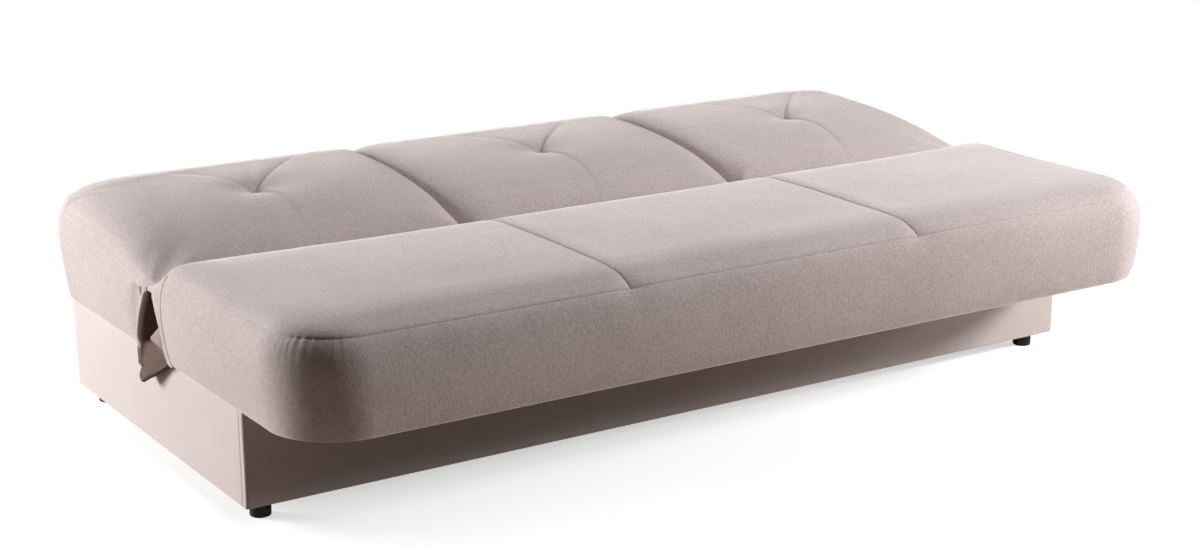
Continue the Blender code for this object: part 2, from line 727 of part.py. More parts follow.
def make_track(side):
    """The steel track inside the box's end board, open at the top for the carriage."""
    mouth = (CARRIAGE_X[0] - TRACK_MOUTH_GAP, CARRIAGE_X[1] + TRACK_MOUTH_GAP)
    inner = (TRACK_X[0] + TRACK_WALL, TRACK_X[1] - TRACK_WALL)
    floor, lip = TRACK_BOTTOM + TRACK_WALL, TRACK_TOP - TRACK_WALL
    outline = [
        (TRACK_X[0], TRACK_BOTTOM),
        (TRACK_X[1], TRACK_BOTTOM),
        (TRACK_X[1], TRACK_TOP),
        (mouth[1], TRACK_TOP),
        (mouth[1], lip),
        (inner[1], lip),
        (inner[1], floor),
        (inner[0], floor),
        (inner[0], lip),
        (mouth[0], lip),
        (mouth[0], TRACK_TOP),
        (TRACK_X[0], TRACK_TOP),
    ]
    if side == "left":
        outline = [(-x, z) for x, z in reversed(outline)]
    overrun = SHOE_LENGTH / 2 + TRACK_END
    track = outline_object(f"hinge_track_{side}", [outline], SLIDE_TRAVEL + 2 * overrun, "steel")
    track.rotation_euler = (math.pi / 2, 0.0, 0.0)
    track.location = (0.0, SLIDE_TRAVEL / 2, 0.0)
    return track


def make_shoe(side):
    """The nylon shoe on the carriage's foot that slides in the track."""
    corner_y = SHOE_LENGTH / 2 - SHOE_CORNER
    levels = (SHOE_BOTTOM + SHOE_CORNER, SHOE_TOP - SHOE_CORNER)
    corners = [(way * corner_y, level) for way in (-1, 1) for level in levels]
    outline = wrap([point for corner in corners for point in circle(corner, SHOE_CORNER, 12)])
    shoe = prism(f"glide_shoe_{side}", outline, sided(SHOE_X, side), helper=False, finish="nylon")
    half = CARRIAGE_FOOT / 2 + TOUCH
    low, high = SHOE_TOP - SHOE_POCKET, SHOE_TOP + SHOE_POCKET
    pocket = [(-half, low), (half, low), (half, high), (-half, high)]
    pocket_x = (CARRIAGE_X[0] - TOUCH, CARRIAGE_X[1] + TOUCH)
    cut(shoe, prism(f"cut_shoe_{side}", pocket, sided(pocket_x, side)))
    return shoe


def make_arm(block, side):
    """The steel arm that joins a frame's end rail to the hinge."""
    reach, way, x_range = (
        (SEAT_ARM_REACH, -1, SEAT_ARM_X) if block == "seat" else (BACK_ARM_REACH, 1, BACK_ARM_X)
    )
    near, far = way * reach[0], way * reach[1]
    pads = circle((near, -ARM_PAD_DROP), ARM_PAD, 16) + circle((far, -ARM_PAD_DROP), ARM_PAD, 16)
    outline = wrap(circle((0.0, 0.0), EYE_RADIUS, 20) + pads)
    sill = ARM_WINDOW_MARGIN - ARM_PAD_DROP
    window = wrap(
        circle((near - way * ARM_PAD, sill + ARM_PAD), ARM_WINDOW, 10)
        + circle((near, sill), ARM_WINDOW, 10)
        + circle((near + way * ARM_PAD, sill), ARM_WINDOW, 10)
    )
    screws = [circle((y, -ARM_PAD_DROP - SCREW_DROP), SCREW_RADIUS, 10) for y in (near, far)]
    loops = [outline, circle((0.0, 0.0), PIN_RADIUS + BORE_GAP, 16), window, *screws]
    return upright_plate(f"{block}_hinge_arm_{side}", loops, sided(x_range, side), HINGE, "steel")


def make_ratchet(side):
    """The notched disc between the two arms that stops the back in steps."""
    count = RATCHET_NOTCHES * 4
    rim = []
    for i in range(count):
        angle = 2 * math.pi * i / count
        radius = RATCHET_RADIUS - (RATCHET_NOTCH if i % 4 == 0 else 0.0)
        rim.append((radius * math.cos(angle), radius * math.sin(angle)))
    loops = [rim, circle((0.0, 0.0), PIN_RADIUS + BORE_GAP, 16)]
    return upright_plate(f"hinge_ratchet_{side}", loops, sided(RATCHET_X, side), HINGE, "steel")


def make_hinge_pin(side):
    """The riveted pin through both arms, the ratchet and the carriage."""
    inner, outer = SEAT_ARM_X[0] - PLATE_GAP, CARRIAGE_X[1] + PLATE_GAP
    middle = (inner + outer) / 2
    half, head, chamfer = (outer - inner) / 2, PIN_HEAD_THICKNESS, PIN_HEAD_CHAMFER
    profile = [
        (0.0, half + head),
        (PIN_HEAD - chamfer, half + head),
        (PIN_HEAD, half + head - chamfer),
        (PIN_HEAD, half),
        (PIN_RADIUS, half),
        (PIN_RADIUS, -half),
        (PIN_HEAD, -half),
        (PIN_HEAD, -half - head + chamfer),
        (PIN_HEAD - chamfer, -half - head),
        (0.0, -half - head),
    ]
    pin = turned(f"hinge_pin_{side}", profile, "steel", steps=16)
    pin.rotation_euler = (0.0, math.pi / 2, 0.0)
    pin.location = (middle if side == "right" else -middle, *HINGE)
    return pin


def wedge_sides(x, level):
    """Where the cloth meets the seat and the back at x, a little clear of both."""
    x += draw_in(x, level, BACK_EDGE_HEIGHT - END_ROUND)
    chin = BACK_EDGE_HEIGHT - edge_fall(x, END_ROUND) - BACK_FRONT_ROUND
    depth = (chin - max(level, BLOCK_BOTTOM)) / (chin - BLOCK_BOTTOM)
    incline = math.hypot(BACK_UNDERCUT, chin - BLOCK_BOTTOM) / (chin - BLOCK_BOTTOM)
    clear = SKIN_GAP + GUSSET_CLOTH / 2
    left = SEAT_REAR - edge_fall(x, END_PLAN_ROUND) + clear
    right = BACK_FRONT + edge_fall(x, END_PLAN_ROUND) + BACK_UNDERCUT * depth - clear * incline
    return left, right


def make_gusset(side):
    """The pleated cloth that closes the wedge between seat and back at one end."""
    sign = 1 if side == "right" else -1
    middle_x = HALF - GUSSET_INSET
    chin = BACK_EDGE_HEIGHT - edge_fall(middle_x + GUSSET_SWAY, END_ROUND) - BACK_FRONT_ROUND
    top, tuck = chin - GUSSET_TOP_DROP, BLOCK_BOTTOM - GUSSET_TUCK
    bm = bmesh.new()
    rows = []
    for level in (top, (top + BLOCK_BOTTOM) / 2, BLOCK_BOTTOM, tuck, GUSSET_HEM_Z):
        spread = min(1.0, (chin - level) / (chin - BLOCK_BOTTOM))
        row = []
        for fold in range(GUSSET_FOLDS + 1):
            share = fold / GUSSET_FOLDS
            x = middle_x + GUSSET_SWAY * spread * (1 if fold % 2 else -1)
            left, right = wedge_sides(x, level)
            hang = level
            if level == GUSSET_HEM_Z:
                low = tuck - GUSSET_TUCK
                hang = low - (low - GUSSET_HEM_Z) * math.sin(math.pi * share**GUSSET_HEM_LEAN)
            row.append(bm.verts.new((sign * x, left + (right - left) * share, hang)))
        rows.append(row)
    for first, second in zip(rows, rows[1:]):
        for i in range(GUSSET_FOLDS):
            bm.faces.new((first[i], first[i + 1], second[i + 1], second[i]))
    obj = add_mesh(f"gusset_{side}", bm, "velour")
    set_origin(obj, (0.0, *HINGE))
    cloth = obj.modifiers.new("cloth", "SOLIDIFY")
    cloth.thickness = GUSSET_CLOTH
    cloth.offset = 0.0
    return obj


def parent_under(name, point, names):
    """Hang objects under an empty on their joint's axis, without moving them."""
    empty = bpy.data.objects.new(name, None)
    empty.empty_display_size = 0.05
    empty.location = point
    PARTS.objects.link(empty)
    bpy.context.view_layer.update()
    for child_name in names:
        child = bpy.data.objects[child_name]
        child.parent = empty
        child.matrix_parent_inverse = empty.matrix_world.inverted()
    return empty


def make_sofa():
    """Build every piece and hang the moving ones on their axes."""
    make_box()
    seam_marks = [(CHANNEL_X, CHANNEL_WIDTH)]
    tuft_marks = [(0.0, TUFT_WIDTH), (TUFT_X, TUFT_WIDTH)]
    make_block("seat", seat_section, SEAT_FRONT_CORNER, seam_marks)
    make_block("back", back_section, BACK_REAR_CORNER, seam_marks + tuft_marks)
    seat_rails = (SEAT_FRONT + FRONT_WADDING + TOUCH, SEAT_REAR - REAR_WADDING - TOUCH)
    back_rails = (BACK_FRONT + BACK_UNDERCUT + FOAM_CHAMFER + TOUCH, BACK_REAR - FRONT_WADDING - TOUCH)
    make_frame("seat", *seat_rails)
    make_frame("back", *back_rails)
    make_ties()
    for side in ("left", "right"):
        make_track(side)
        make_shoe(side)
        make_carriage(side)
        make_arm("seat", side)
        make_arm("back", side)
        make_ratchet(side)
        make_hinge_pin(side)
        make_gusset(side)
    hung = [obj.name for obj in PARTS.objects if obj.name.startswith(("seat_", "back_", "tuft_"))]
    for block in ("seat", "back"):
        starts = (f"{block}_", "tuft_") if block == "back" else (f"{block}_",)
        parent_under(f"{block}_axis", (0.0, *HINGE), [name for name in hung if name.startswith(starts)])


clear_scene()
PARTS = new_collection(COLLECTION)
CUTTERS = new_collection("cutters")
make_sofa()
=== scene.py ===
"""The looks of the armless sofa bed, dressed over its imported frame.

Metres, +Z up, +X to the right seen from the front, -Y to the front. The origin is on the
floor under the middle of the sofa. The two padded blocks are grids that wrap round their
plan, swollen by a cloth simulation between pinned seams, and then creased.
"""

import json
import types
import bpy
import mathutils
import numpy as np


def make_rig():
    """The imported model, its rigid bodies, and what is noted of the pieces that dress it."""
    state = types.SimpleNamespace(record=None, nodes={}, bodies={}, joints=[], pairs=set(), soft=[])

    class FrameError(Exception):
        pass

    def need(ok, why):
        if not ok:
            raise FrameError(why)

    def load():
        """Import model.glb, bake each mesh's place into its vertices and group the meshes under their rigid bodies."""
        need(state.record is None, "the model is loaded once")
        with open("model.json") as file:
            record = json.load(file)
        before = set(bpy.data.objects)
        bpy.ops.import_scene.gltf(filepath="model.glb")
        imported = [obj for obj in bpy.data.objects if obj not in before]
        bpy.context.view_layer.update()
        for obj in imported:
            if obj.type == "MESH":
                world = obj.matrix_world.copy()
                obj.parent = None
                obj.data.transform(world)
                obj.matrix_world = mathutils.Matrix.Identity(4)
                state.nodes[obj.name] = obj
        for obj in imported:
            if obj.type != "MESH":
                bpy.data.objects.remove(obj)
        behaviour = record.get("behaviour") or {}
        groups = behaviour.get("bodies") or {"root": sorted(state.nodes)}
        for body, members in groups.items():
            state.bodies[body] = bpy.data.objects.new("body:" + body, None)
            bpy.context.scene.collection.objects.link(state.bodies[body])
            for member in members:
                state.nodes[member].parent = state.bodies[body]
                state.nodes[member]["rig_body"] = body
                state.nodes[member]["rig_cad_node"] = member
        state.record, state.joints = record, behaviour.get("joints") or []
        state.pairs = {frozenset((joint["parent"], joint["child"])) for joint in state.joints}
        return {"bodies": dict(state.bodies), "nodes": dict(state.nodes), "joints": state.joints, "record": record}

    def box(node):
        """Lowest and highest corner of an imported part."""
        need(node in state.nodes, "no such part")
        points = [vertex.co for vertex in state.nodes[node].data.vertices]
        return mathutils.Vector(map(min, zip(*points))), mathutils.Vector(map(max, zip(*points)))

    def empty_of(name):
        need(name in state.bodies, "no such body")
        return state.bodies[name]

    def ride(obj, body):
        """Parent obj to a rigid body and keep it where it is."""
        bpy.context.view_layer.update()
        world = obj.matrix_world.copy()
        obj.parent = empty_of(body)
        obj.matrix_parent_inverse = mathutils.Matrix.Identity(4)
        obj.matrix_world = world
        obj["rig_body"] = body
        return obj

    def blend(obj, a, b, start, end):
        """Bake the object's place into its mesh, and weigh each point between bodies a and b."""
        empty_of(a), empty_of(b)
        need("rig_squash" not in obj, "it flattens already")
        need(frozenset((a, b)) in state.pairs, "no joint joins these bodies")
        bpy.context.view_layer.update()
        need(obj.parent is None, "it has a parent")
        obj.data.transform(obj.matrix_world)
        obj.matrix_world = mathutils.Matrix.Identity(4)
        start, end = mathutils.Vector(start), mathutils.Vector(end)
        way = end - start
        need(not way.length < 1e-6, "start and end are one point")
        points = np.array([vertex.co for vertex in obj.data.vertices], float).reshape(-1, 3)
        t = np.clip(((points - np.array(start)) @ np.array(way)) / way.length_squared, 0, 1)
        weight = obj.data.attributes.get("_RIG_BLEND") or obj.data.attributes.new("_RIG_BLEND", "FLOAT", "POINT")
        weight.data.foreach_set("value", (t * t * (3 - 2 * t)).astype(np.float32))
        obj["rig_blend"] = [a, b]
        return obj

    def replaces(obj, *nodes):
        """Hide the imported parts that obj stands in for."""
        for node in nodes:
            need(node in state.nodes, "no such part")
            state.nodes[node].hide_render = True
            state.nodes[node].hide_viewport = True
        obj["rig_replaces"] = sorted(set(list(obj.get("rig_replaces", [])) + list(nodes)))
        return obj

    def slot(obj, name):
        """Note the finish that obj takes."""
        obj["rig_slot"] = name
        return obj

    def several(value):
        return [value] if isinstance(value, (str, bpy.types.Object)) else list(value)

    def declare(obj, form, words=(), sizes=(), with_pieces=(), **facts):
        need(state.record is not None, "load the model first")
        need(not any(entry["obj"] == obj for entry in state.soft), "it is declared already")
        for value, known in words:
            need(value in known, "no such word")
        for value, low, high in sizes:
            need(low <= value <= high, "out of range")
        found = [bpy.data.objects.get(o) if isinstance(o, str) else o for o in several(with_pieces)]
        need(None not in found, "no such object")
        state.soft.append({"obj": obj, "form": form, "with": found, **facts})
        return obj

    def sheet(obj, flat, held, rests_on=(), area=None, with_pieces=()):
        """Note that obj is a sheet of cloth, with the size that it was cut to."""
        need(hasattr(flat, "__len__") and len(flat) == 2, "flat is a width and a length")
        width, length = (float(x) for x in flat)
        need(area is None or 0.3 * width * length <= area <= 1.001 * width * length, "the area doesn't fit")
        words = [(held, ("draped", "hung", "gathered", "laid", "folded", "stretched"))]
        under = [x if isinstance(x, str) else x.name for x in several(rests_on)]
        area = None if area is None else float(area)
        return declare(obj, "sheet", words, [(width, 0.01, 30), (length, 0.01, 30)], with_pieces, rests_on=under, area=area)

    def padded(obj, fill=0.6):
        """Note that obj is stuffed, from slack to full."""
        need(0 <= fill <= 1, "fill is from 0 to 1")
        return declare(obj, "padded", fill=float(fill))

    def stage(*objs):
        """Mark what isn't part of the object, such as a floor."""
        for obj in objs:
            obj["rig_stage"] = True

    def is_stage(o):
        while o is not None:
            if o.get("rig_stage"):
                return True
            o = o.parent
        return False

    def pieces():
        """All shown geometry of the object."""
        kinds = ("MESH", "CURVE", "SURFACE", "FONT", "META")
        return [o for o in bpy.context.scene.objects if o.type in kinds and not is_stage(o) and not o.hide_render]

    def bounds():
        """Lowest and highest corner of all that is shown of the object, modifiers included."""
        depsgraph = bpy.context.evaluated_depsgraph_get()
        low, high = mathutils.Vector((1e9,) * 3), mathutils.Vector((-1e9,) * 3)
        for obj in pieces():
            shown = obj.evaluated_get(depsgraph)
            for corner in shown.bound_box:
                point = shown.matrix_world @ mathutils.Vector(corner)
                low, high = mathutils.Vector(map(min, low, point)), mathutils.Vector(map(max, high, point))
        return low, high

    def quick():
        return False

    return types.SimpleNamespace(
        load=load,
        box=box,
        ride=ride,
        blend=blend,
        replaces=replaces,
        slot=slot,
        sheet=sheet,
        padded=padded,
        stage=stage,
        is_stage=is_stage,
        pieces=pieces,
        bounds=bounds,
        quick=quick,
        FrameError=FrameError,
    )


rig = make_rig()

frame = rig.load()

import json
import math

import bmesh
import bpy
import numpy as np
from mathutils import Matrix, Vector

CAD_BOX = [list(corner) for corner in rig.bounds()]
SIZE_FILE = "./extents.json"

# Places read from the frame
SEAT_LOW, SEAT_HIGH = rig.box("seat_cover")
BACK_LOW, BACK_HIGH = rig.box("back_cover")
BOX_LOW, BOX_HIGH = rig.box("base_cover")
RAIL_LOW, RAIL_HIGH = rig.box("seat_rail_front")
HINGE_LOW, HINGE_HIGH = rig.box("hinge_pin_left")
HINGE_Z = (HINGE_LOW.z + HINGE_HIGH.z) / 2
HALF = SEAT_HIGH.x
BOTTOM = SEAT_LOW.z
CHANNEL_X = HALF / 3
TUFT_X = 2 * HALF / 3
TUFT_Y = 0.287

# Camera, solved from the photograph
IMAGE_WIDTH = 1200
CAMERA_PLACE = (-2.28629, -3.42944, 1.38981)
CAMERA_YAW = math.radians(33.25399)
CAMERA_DIP = math.radians(15.60848)
CAMERA_ROLL = math.radians(0.0625)
FOCAL_PIXELS = 2121.06
SENSOR = 36.0

# Grid of a block: the straight part's half length, and cells that crowd beside a seam
STRAIGHT = 0.775
CORNER_CELLS = 34
COARSE_GRID = (0.0125, 46, 12)
MIN_CORNER = 0.004
NEAR_SEAM = (0.0, 0.0015, 0.0032, 0.0055, 0.0085, 0.0125, 0.0175)
NEAR_BOX_SEAM = (0.0, 0.003, 0.006, 0.0085, 0.0100, 0.0110, 0.0120, 0.0135, 0.0165, 0.021)
NEAR_HEM = (0.0, 0.0012, 0.003, 0.007)
SHARP = math.radians(62)

# A block's top: the height from which the border follows it, the |x| from which it bends
# to its ends, and the shares of the corners and of the depth over which its crown rises
FOLLOWS_TOP = 0.340
BENDS_FROM = 0.5
CROWN_OVER_CORNERS = 1.6
CROWN_OVER_DEPTH = 0.45


def in_scene(obj):
    """Link a new object into the scene."""
    bpy.context.scene.collection.objects.link(obj)
    return obj


def smoothstep(low, high, value):
    """0 below low, 1 above high, smooth between."""
    share = np.clip((np.asarray(value, float) - low) / (high - low), 0.0, 1.0)
    return share * share * (3 - 2 * share)


def smooth_line(points, spans):
    """A curve through chosen points, with a set number of cells between each two."""
    chosen = np.array(points, float)
    ends = np.vstack([2 * chosen[0] - chosen[1], chosen, 2 * chosen[-1] - chosen[-2]])
    line = []
    for k, cells in enumerate(spans):
        a, b, c, d = ends[k : k + 4]
        for t in np.linspace(0, 1, cells, endpoint=False):
            even = 2 * b + (c - a) * t
            bent = (2 * a - 5 * b + 4 * c - d) * t**2 + (3 * b - a - 3 * c + d) * t**3
            line.append((even + bent) / 2)
    return np.array(line + [chosen[-1]])


def run_along(line):
    """The length from a line's start to each of its points."""
    return np.concatenate([[0], np.cumsum(np.linalg.norm(np.diff(line, axis=0), axis=1))])


def through(points, shares, per_span=24):
    """Points on a smooth curve through chosen ones, at shares of its length."""
    dense = smooth_line(points, [per_span] * (len(points) - 1))
    run = run_along(dense)
    wanted = np.array(shares) * run[-1]
    return np.column_stack([np.interp(wanted, run, dense[:, k]) for k in range(dense.shape[1])])


def spread(length, step, near_start=False, near_end=False, closest=NEAR_SEAM):
    """Shares of a length from 0 to 1, about a step apart and closer by a seam."""
    start = list(closest) if near_start else [0.0]
    end = [length - gap for gap in reversed(closest)] if near_end else [length]
    cells = max(2, round((end[0] - start[-1]) / step))
    middle = np.linspace(start[-1], end[0], cells + 1)[1:-1]
    return np.array([*start, *middle, *end]) / length


class Plan:
    """A block's outline seen from above, with the same points at every level."""

    def __init__(self, depth, corners, growth, grid):
        self.front, self.rear = depth
        self.corner_front, self.corner_rear = corners
        self.growth_front, self.growth_rear = growth
        step, self.end_cells, self.corner_cells = grid
        self.fine = step < COARSE_GRID[0]
        outer = spread(STRAIGHT - CHANNEL_X, step, near_start=self.fine)
        inner = spread(CHANNEL_X, step, near_end=self.fine)
        half = [*(inner * CHANNEL_X), *(CHANNEL_X + outer[1:] * (STRAIGHT - CHANNEL_X))]
        self.middle = np.array([-x for x in reversed(half[1:])] + half)
        self.columns = len(self.middle) - 1 + 2 * self.corner_cells

    def edge_run(self, half, radius):
        """From the straight part's end to the corner's middle: x and distance into the plan."""
        straight = half - radius - STRAIGHT
        total = straight + radius * math.pi / 4
        run = total * np.arange(1, self.corner_cells + 1) / self.corner_cells
        turn = np.clip((run - straight) / radius, 0, None)
        x = np.where(run <= straight, STRAIGHT + run, half - radius + radius * np.sin(turn))
        return x, radius * (1 - np.cos(turn))

    def long_side(self, half, y, way, radius):
        """The front (way 1) or the rear (way -1) between the middles of its two corners."""
        x, into = self.edge_run(half, radius)
        side_x = np.concatenate([-x[::-1], self.middle, x])
        into = np.concatenate([into[::-1], np.zeros(len(self.middle)), into])
        return side_x, y + way * into

    def end_run(self, half, front, rear, radius_front, radius_rear):
        """The right end from the middle of its front corner to the middle of its rear one."""
        quarter = math.pi / 4
        straight = (rear - radius_rear) - (front + radius_front)
        first = radius_front * quarter
        total = first + straight + radius_rear * quarter
        run = total * np.arange(0, self.end_cells + 1) / self.end_cells
        a = quarter + np.clip(run / radius_front, 0, quarter)
        b = quarter + np.clip((total - run) / radius_rear, 0, quarter)
        y_front = front + radius_front * (1 - np.cos(a))
        y_rear = rear - radius_rear * (1 - np.cos(b))
        x = np.where(run < first, half - radius_front * (1 - np.sin(a)), half)
        x = np.where(total - run < radius_rear * quarter, half - radius_rear * (1 - np.sin(b)), x)
        y = np.where(run < first, y_front, front + radius_front + (run - first))
        y = np.where(total - run < radius_rear * quarter, y_rear, y)
        return x, y

    def ring(self, insets, seam=None):
        """The outline at one level, from the middle of the front left corner round to it.

        The insets are those of the front, the end and the rear. Above the seam each corner
        grows from its radius there, at its own rate.
        """
        inset_front, inset_end, inset_rear = insets
        half = HALF - inset_end
        front, rear = self.front + inset_front, self.rear - inset_rear
        at = seam or insets
        radius_front = max(self.corner_front - (at[0] + at[1]) / 2, MIN_CORNER)
        radius_rear = max(self.corner_rear - (at[2] + at[1]) / 2, MIN_CORNER)
        radius_front += self.growth_front * (inset_front + inset_end - at[0] - at[1]) / 2
        radius_rear += self.growth_rear * (inset_rear + inset_end - at[2] - at[1]) / 2
        front_x, front_y = self.long_side(half, front, 1, radius_front)
        rear_x, rear_y = self.long_side(half, rear, -1, radius_rear)
        end_x, end_y = self.end_run(half, front, rear, radius_front, radius_rear)
        ring_x = np.concatenate([front_x[:-1], end_x[:-1], rear_x[:0:-1], -end_x[:0:-1]])
        ring_y = np.concatenate([front_y[:-1], end_y[:-1], rear_y[:0:-1], end_y[:0:-1]])
        return np.column_stack([ring_x, ring_y])

    def share_of_sides(self, reach_front, reach_rear):
        """How much each point of a ring belongs to the front and to the rear, from 0 to 1."""
        ring = self.ring((0.0, 0.0, 0.0))
        steps = np.linalg.norm(np.roll(ring, -1, axis=0) - ring, axis=1)
        run = np.concatenate([[0], np.cumsum(steps)[:-1]])
        total = steps.sum()
        corners = [0, self.columns, self.columns + self.end_cells, 2 * self.columns + self.end_cells]
        shares = []
        for first, second, reach in ((0, 1, reach_front), (2, 3, reach_rear)):
            middle = (run[corners[first]] + run[corners[second]]) / 2
            half = (run[corners[second]] - run[corners[first]]) / 2
            away = np.abs((run - middle + total / 2) % total - total / 2)
            shares.append(1 - smoothstep(half - reach[0], half + reach[1], away))
        return shares


class Shell:
    """A block's skin: rows of rings from the bottom to the shoulder, and a top inside."""

    def __init__(self, plan, profiles, shares, top_height, reach, crown):
        self.plan = plan
        low_shares, high_shares = shares
        self.seam_row = len(low_shares) - 1
        lines = {}
        for side, (low, high) in profiles.items():
            lines[side] = np.vstack([through(low, low_shares), through(high, high_shares)[1:]])
        of_front, of_rear = plan.share_of_sides(*reach)
        of_end = 1 - of_front - of_rear
        rings = []
        insets = list(zip(*(lines[side][:, 0] for side in ("front", "end", "rear"))))
        for row, (front, end, rear) in enumerate(zip(lines["front"], lines["end"], lines["rear"])):
            ring = plan.ring(insets[row], insets[self.seam_row] if row > self.seam_row else None)
            rise = (end[1] - FOLLOWS_TOP) / (lines["end"][-1][1] - FOLLOWS_TOP)
            rise, top = max(0.0, rise), top_height(ring[:, 1])
            level = end[1] + rise * (top - lines["end"][-1][1])
            in_front = front[1] + rise * (top - top_height(plan.front + front[0]))
            z = of_front * in_front + of_rear * rear[1] + of_end * level
            rings.append(np.column_stack([ring, z]))
        self.border = np.array(rings)
        # Distance of each row from the seam, along the front profile
        run = run_along(lines["front"])
        self.row_from_seam = run - run[self.seam_row]
        self.of_front, self.of_rear = of_front, of_rear
        self.top = self.fill(self.border[-1], top_height)
        self.top[:, :, 2] += crown(self.top[:, :, 0]) * self.inside()

    def fill(self, ring, top_height):
        """The top as a grid between the four sides of the uppermost ring."""
        columns, ends = self.plan.columns, self.plan.end_cells
        front = ring[: columns + 1]
        right = ring[columns : columns + ends + 1]
        rear = ring[columns + ends : 2 * columns + ends + 1][::-1]
        left = np.vstack([ring[2 * columns + ends :], ring[:1]])[::-1]
        v = np.linspace(0, 1, ends + 1)[None, :, None]
        grid = front[:, None, :] * (1 - v) + rear[:, None, :] * v
        bend = top_height(grid[:, :, 1]) - grid[:, :, 2]
        bend -= (1 - v[:, :, 0]) * bend[:, :1] + v[:, :, 0] * bend[:, -1:]
        reach = np.abs(front[:, 0]) - BENDS_FROM
        grid[:, :, 2] += (1 - np.clip(reach / reach[0], 0, 1) ** 2)[:, None] * bend
        for side, corner in ((left, 0), (right, -1)):
            share = np.clip(reach / reach[corner], 0, 1) ** 2
            share[np.sign(front[:, 0]) != np.sign(front[corner, 0])] = 0
            grid += share[:, None, None] * (side[None] - grid[corner][None])
        return grid

    def inside(self):
        """0 on the top's edge, rising to 1 inside it."""
        columns, ends = self.plan.columns, self.plan.end_cells
        i = np.minimum(np.arange(columns + 1), columns - np.arange(columns + 1))[:, None]
        j = np.minimum(np.arange(ends + 1), ends - np.arange(ends + 1))[None, :]
        across = smoothstep(0, self.plan.corner_cells * CROWN_OVER_CORNERS, i)
        along = smoothstep(0, ends * CROWN_OVER_DEPTH, j)
        return across * along

    def index_of_top(self):
        """The vertex number of each point of the top, whose edge is the last ring."""
        columns, ends = self.plan.columns, self.plan.end_cells
        count = self.border.shape[1]
        first = (self.border.shape[0] - 1) * count
        index = np.zeros((columns + 1, ends + 1), int)
        index[:, 0] = first + np.arange(columns + 1)
        index[-1, :] = first + columns + np.arange(ends + 1)
        index[:, -1] = first + columns + ends + columns - np.arange(columns + 1)
        index[0, 1:] = first + 2 * columns + 2 * ends - np.arange(1, ends + 1)
        index[0, 0] = first
        inner = first + count
        index[1:-1, 1:-1] = inner + np.arange((columns - 1) * (ends - 1)).reshape(columns - 1, ends - 1)
        return index

    def points(self):
        """Every point once: the rings, then the inside of the top."""
        return np.vstack([self.border.reshape(-1, 3), self.top[1:-1, 1:-1].reshape(-1, 3)])

    def faces(self):
        """Quads of the rings and of the top."""
        rows, count = self.border.shape[:2]
        r, s = np.meshgrid(np.arange(rows - 1), np.arange(count), indexing="ij")
        here, beside = r * count + s, r * count + (s + 1) % count
        around = np.stack([here, beside, beside + count, here + count], axis=-1).reshape(-1, 4)
        index = self.index_of_top()
        top = np.stack([index[:-1, :-1], index[1:, :-1], index[1:, 1:], index[:-1, 1:]], axis=-1)
        return np.vstack([around, top.reshape(-1, 4)])

    def split(self, values):
        """Values per point as a block for the rings and one for the whole top."""
        rows, count = self.border.shape[:2]
        border = values[: rows * count].reshape(rows, count, -1)
        return border, values[self.index_of_top()]


def resample(places, knots, periodic=False):
    """A matrix that carries values at knots to places, by cubic curves through them."""
    count = len(knots)
    at = np.interp(places, knots, np.arange(count))
    base = np.clip(np.floor(at).astype(int), 0, count - 2)
    t = at - base
    weights = [
        (-t + 2 * t**2 - t**3) / 2,
        (2 - 5 * t**2 + 3 * t**3) / 2,
        (t + 4 * t**2 - 3 * t**3) / 2,
        (-(t**2) + t**3) / 2,
    ]
    matrix = np.zeros((len(places), count))
    for offset, weight in zip((-1, 0, 1, 2), weights):
        index = base + offset
        index = index % (count - 1) if periodic else np.clip(index, 0, count - 1)
        np.add.at(matrix, (np.arange(len(places)), index), weight)
    return matrix


def mesh_object(name, points, faces):
    """Make a smooth mesh object from arrays."""
    mesh = bpy.data.meshes.new(name)
    mesh.from_pydata([tuple(p) for p in points], [], [tuple(int(i) for i in f) for f in faces])
    mesh.update()
    mesh.shade_smooth()
    return in_scene(bpy.data.objects.new(name, mesh))


def keep_modified(obj):
    """Keep what an object's modifiers make as its mesh, smooth but for its sharp edges."""
    bpy.context.view_layer.update()
    graph = bpy.context.evaluated_depsgraph_get()
    mesh = bpy.data.meshes.new_from_object(obj.evaluated_get(graph))
    obj.modifiers.clear()
    obj.data = mesh
    mesh.shade_smooth()
    mesh.set_sharp_from_angle(angle=SHARP)


def normals_of(obj):
    """The mesh's point normals as an array."""
    flat = np.zeros(len(obj.data.vertices) * 3, np.float32)
    obj.data.vertices.foreach_get("normal", flat)
    return flat.reshape(-1, 3).astype(float)


# The cloth of a block's skin, blown up between pins: its settings, and how far it may move
CLOTH = {
    "quality": 5,
    "mass": 0.3,
    "tension_stiffness": 12.0,
    "compression_stiffness": 6.0,
    "shear_stiffness": 4.0,
    "bending_stiffness": 4.0,
    "shrink_min": -0.0015,
    "use_pressure": True,
    "uniform_pressure_force": 4.0,
    "vertex_group_mass": "pins",
}
SWELL_FRAMES = 20
SWELL_LIMIT = 0.007


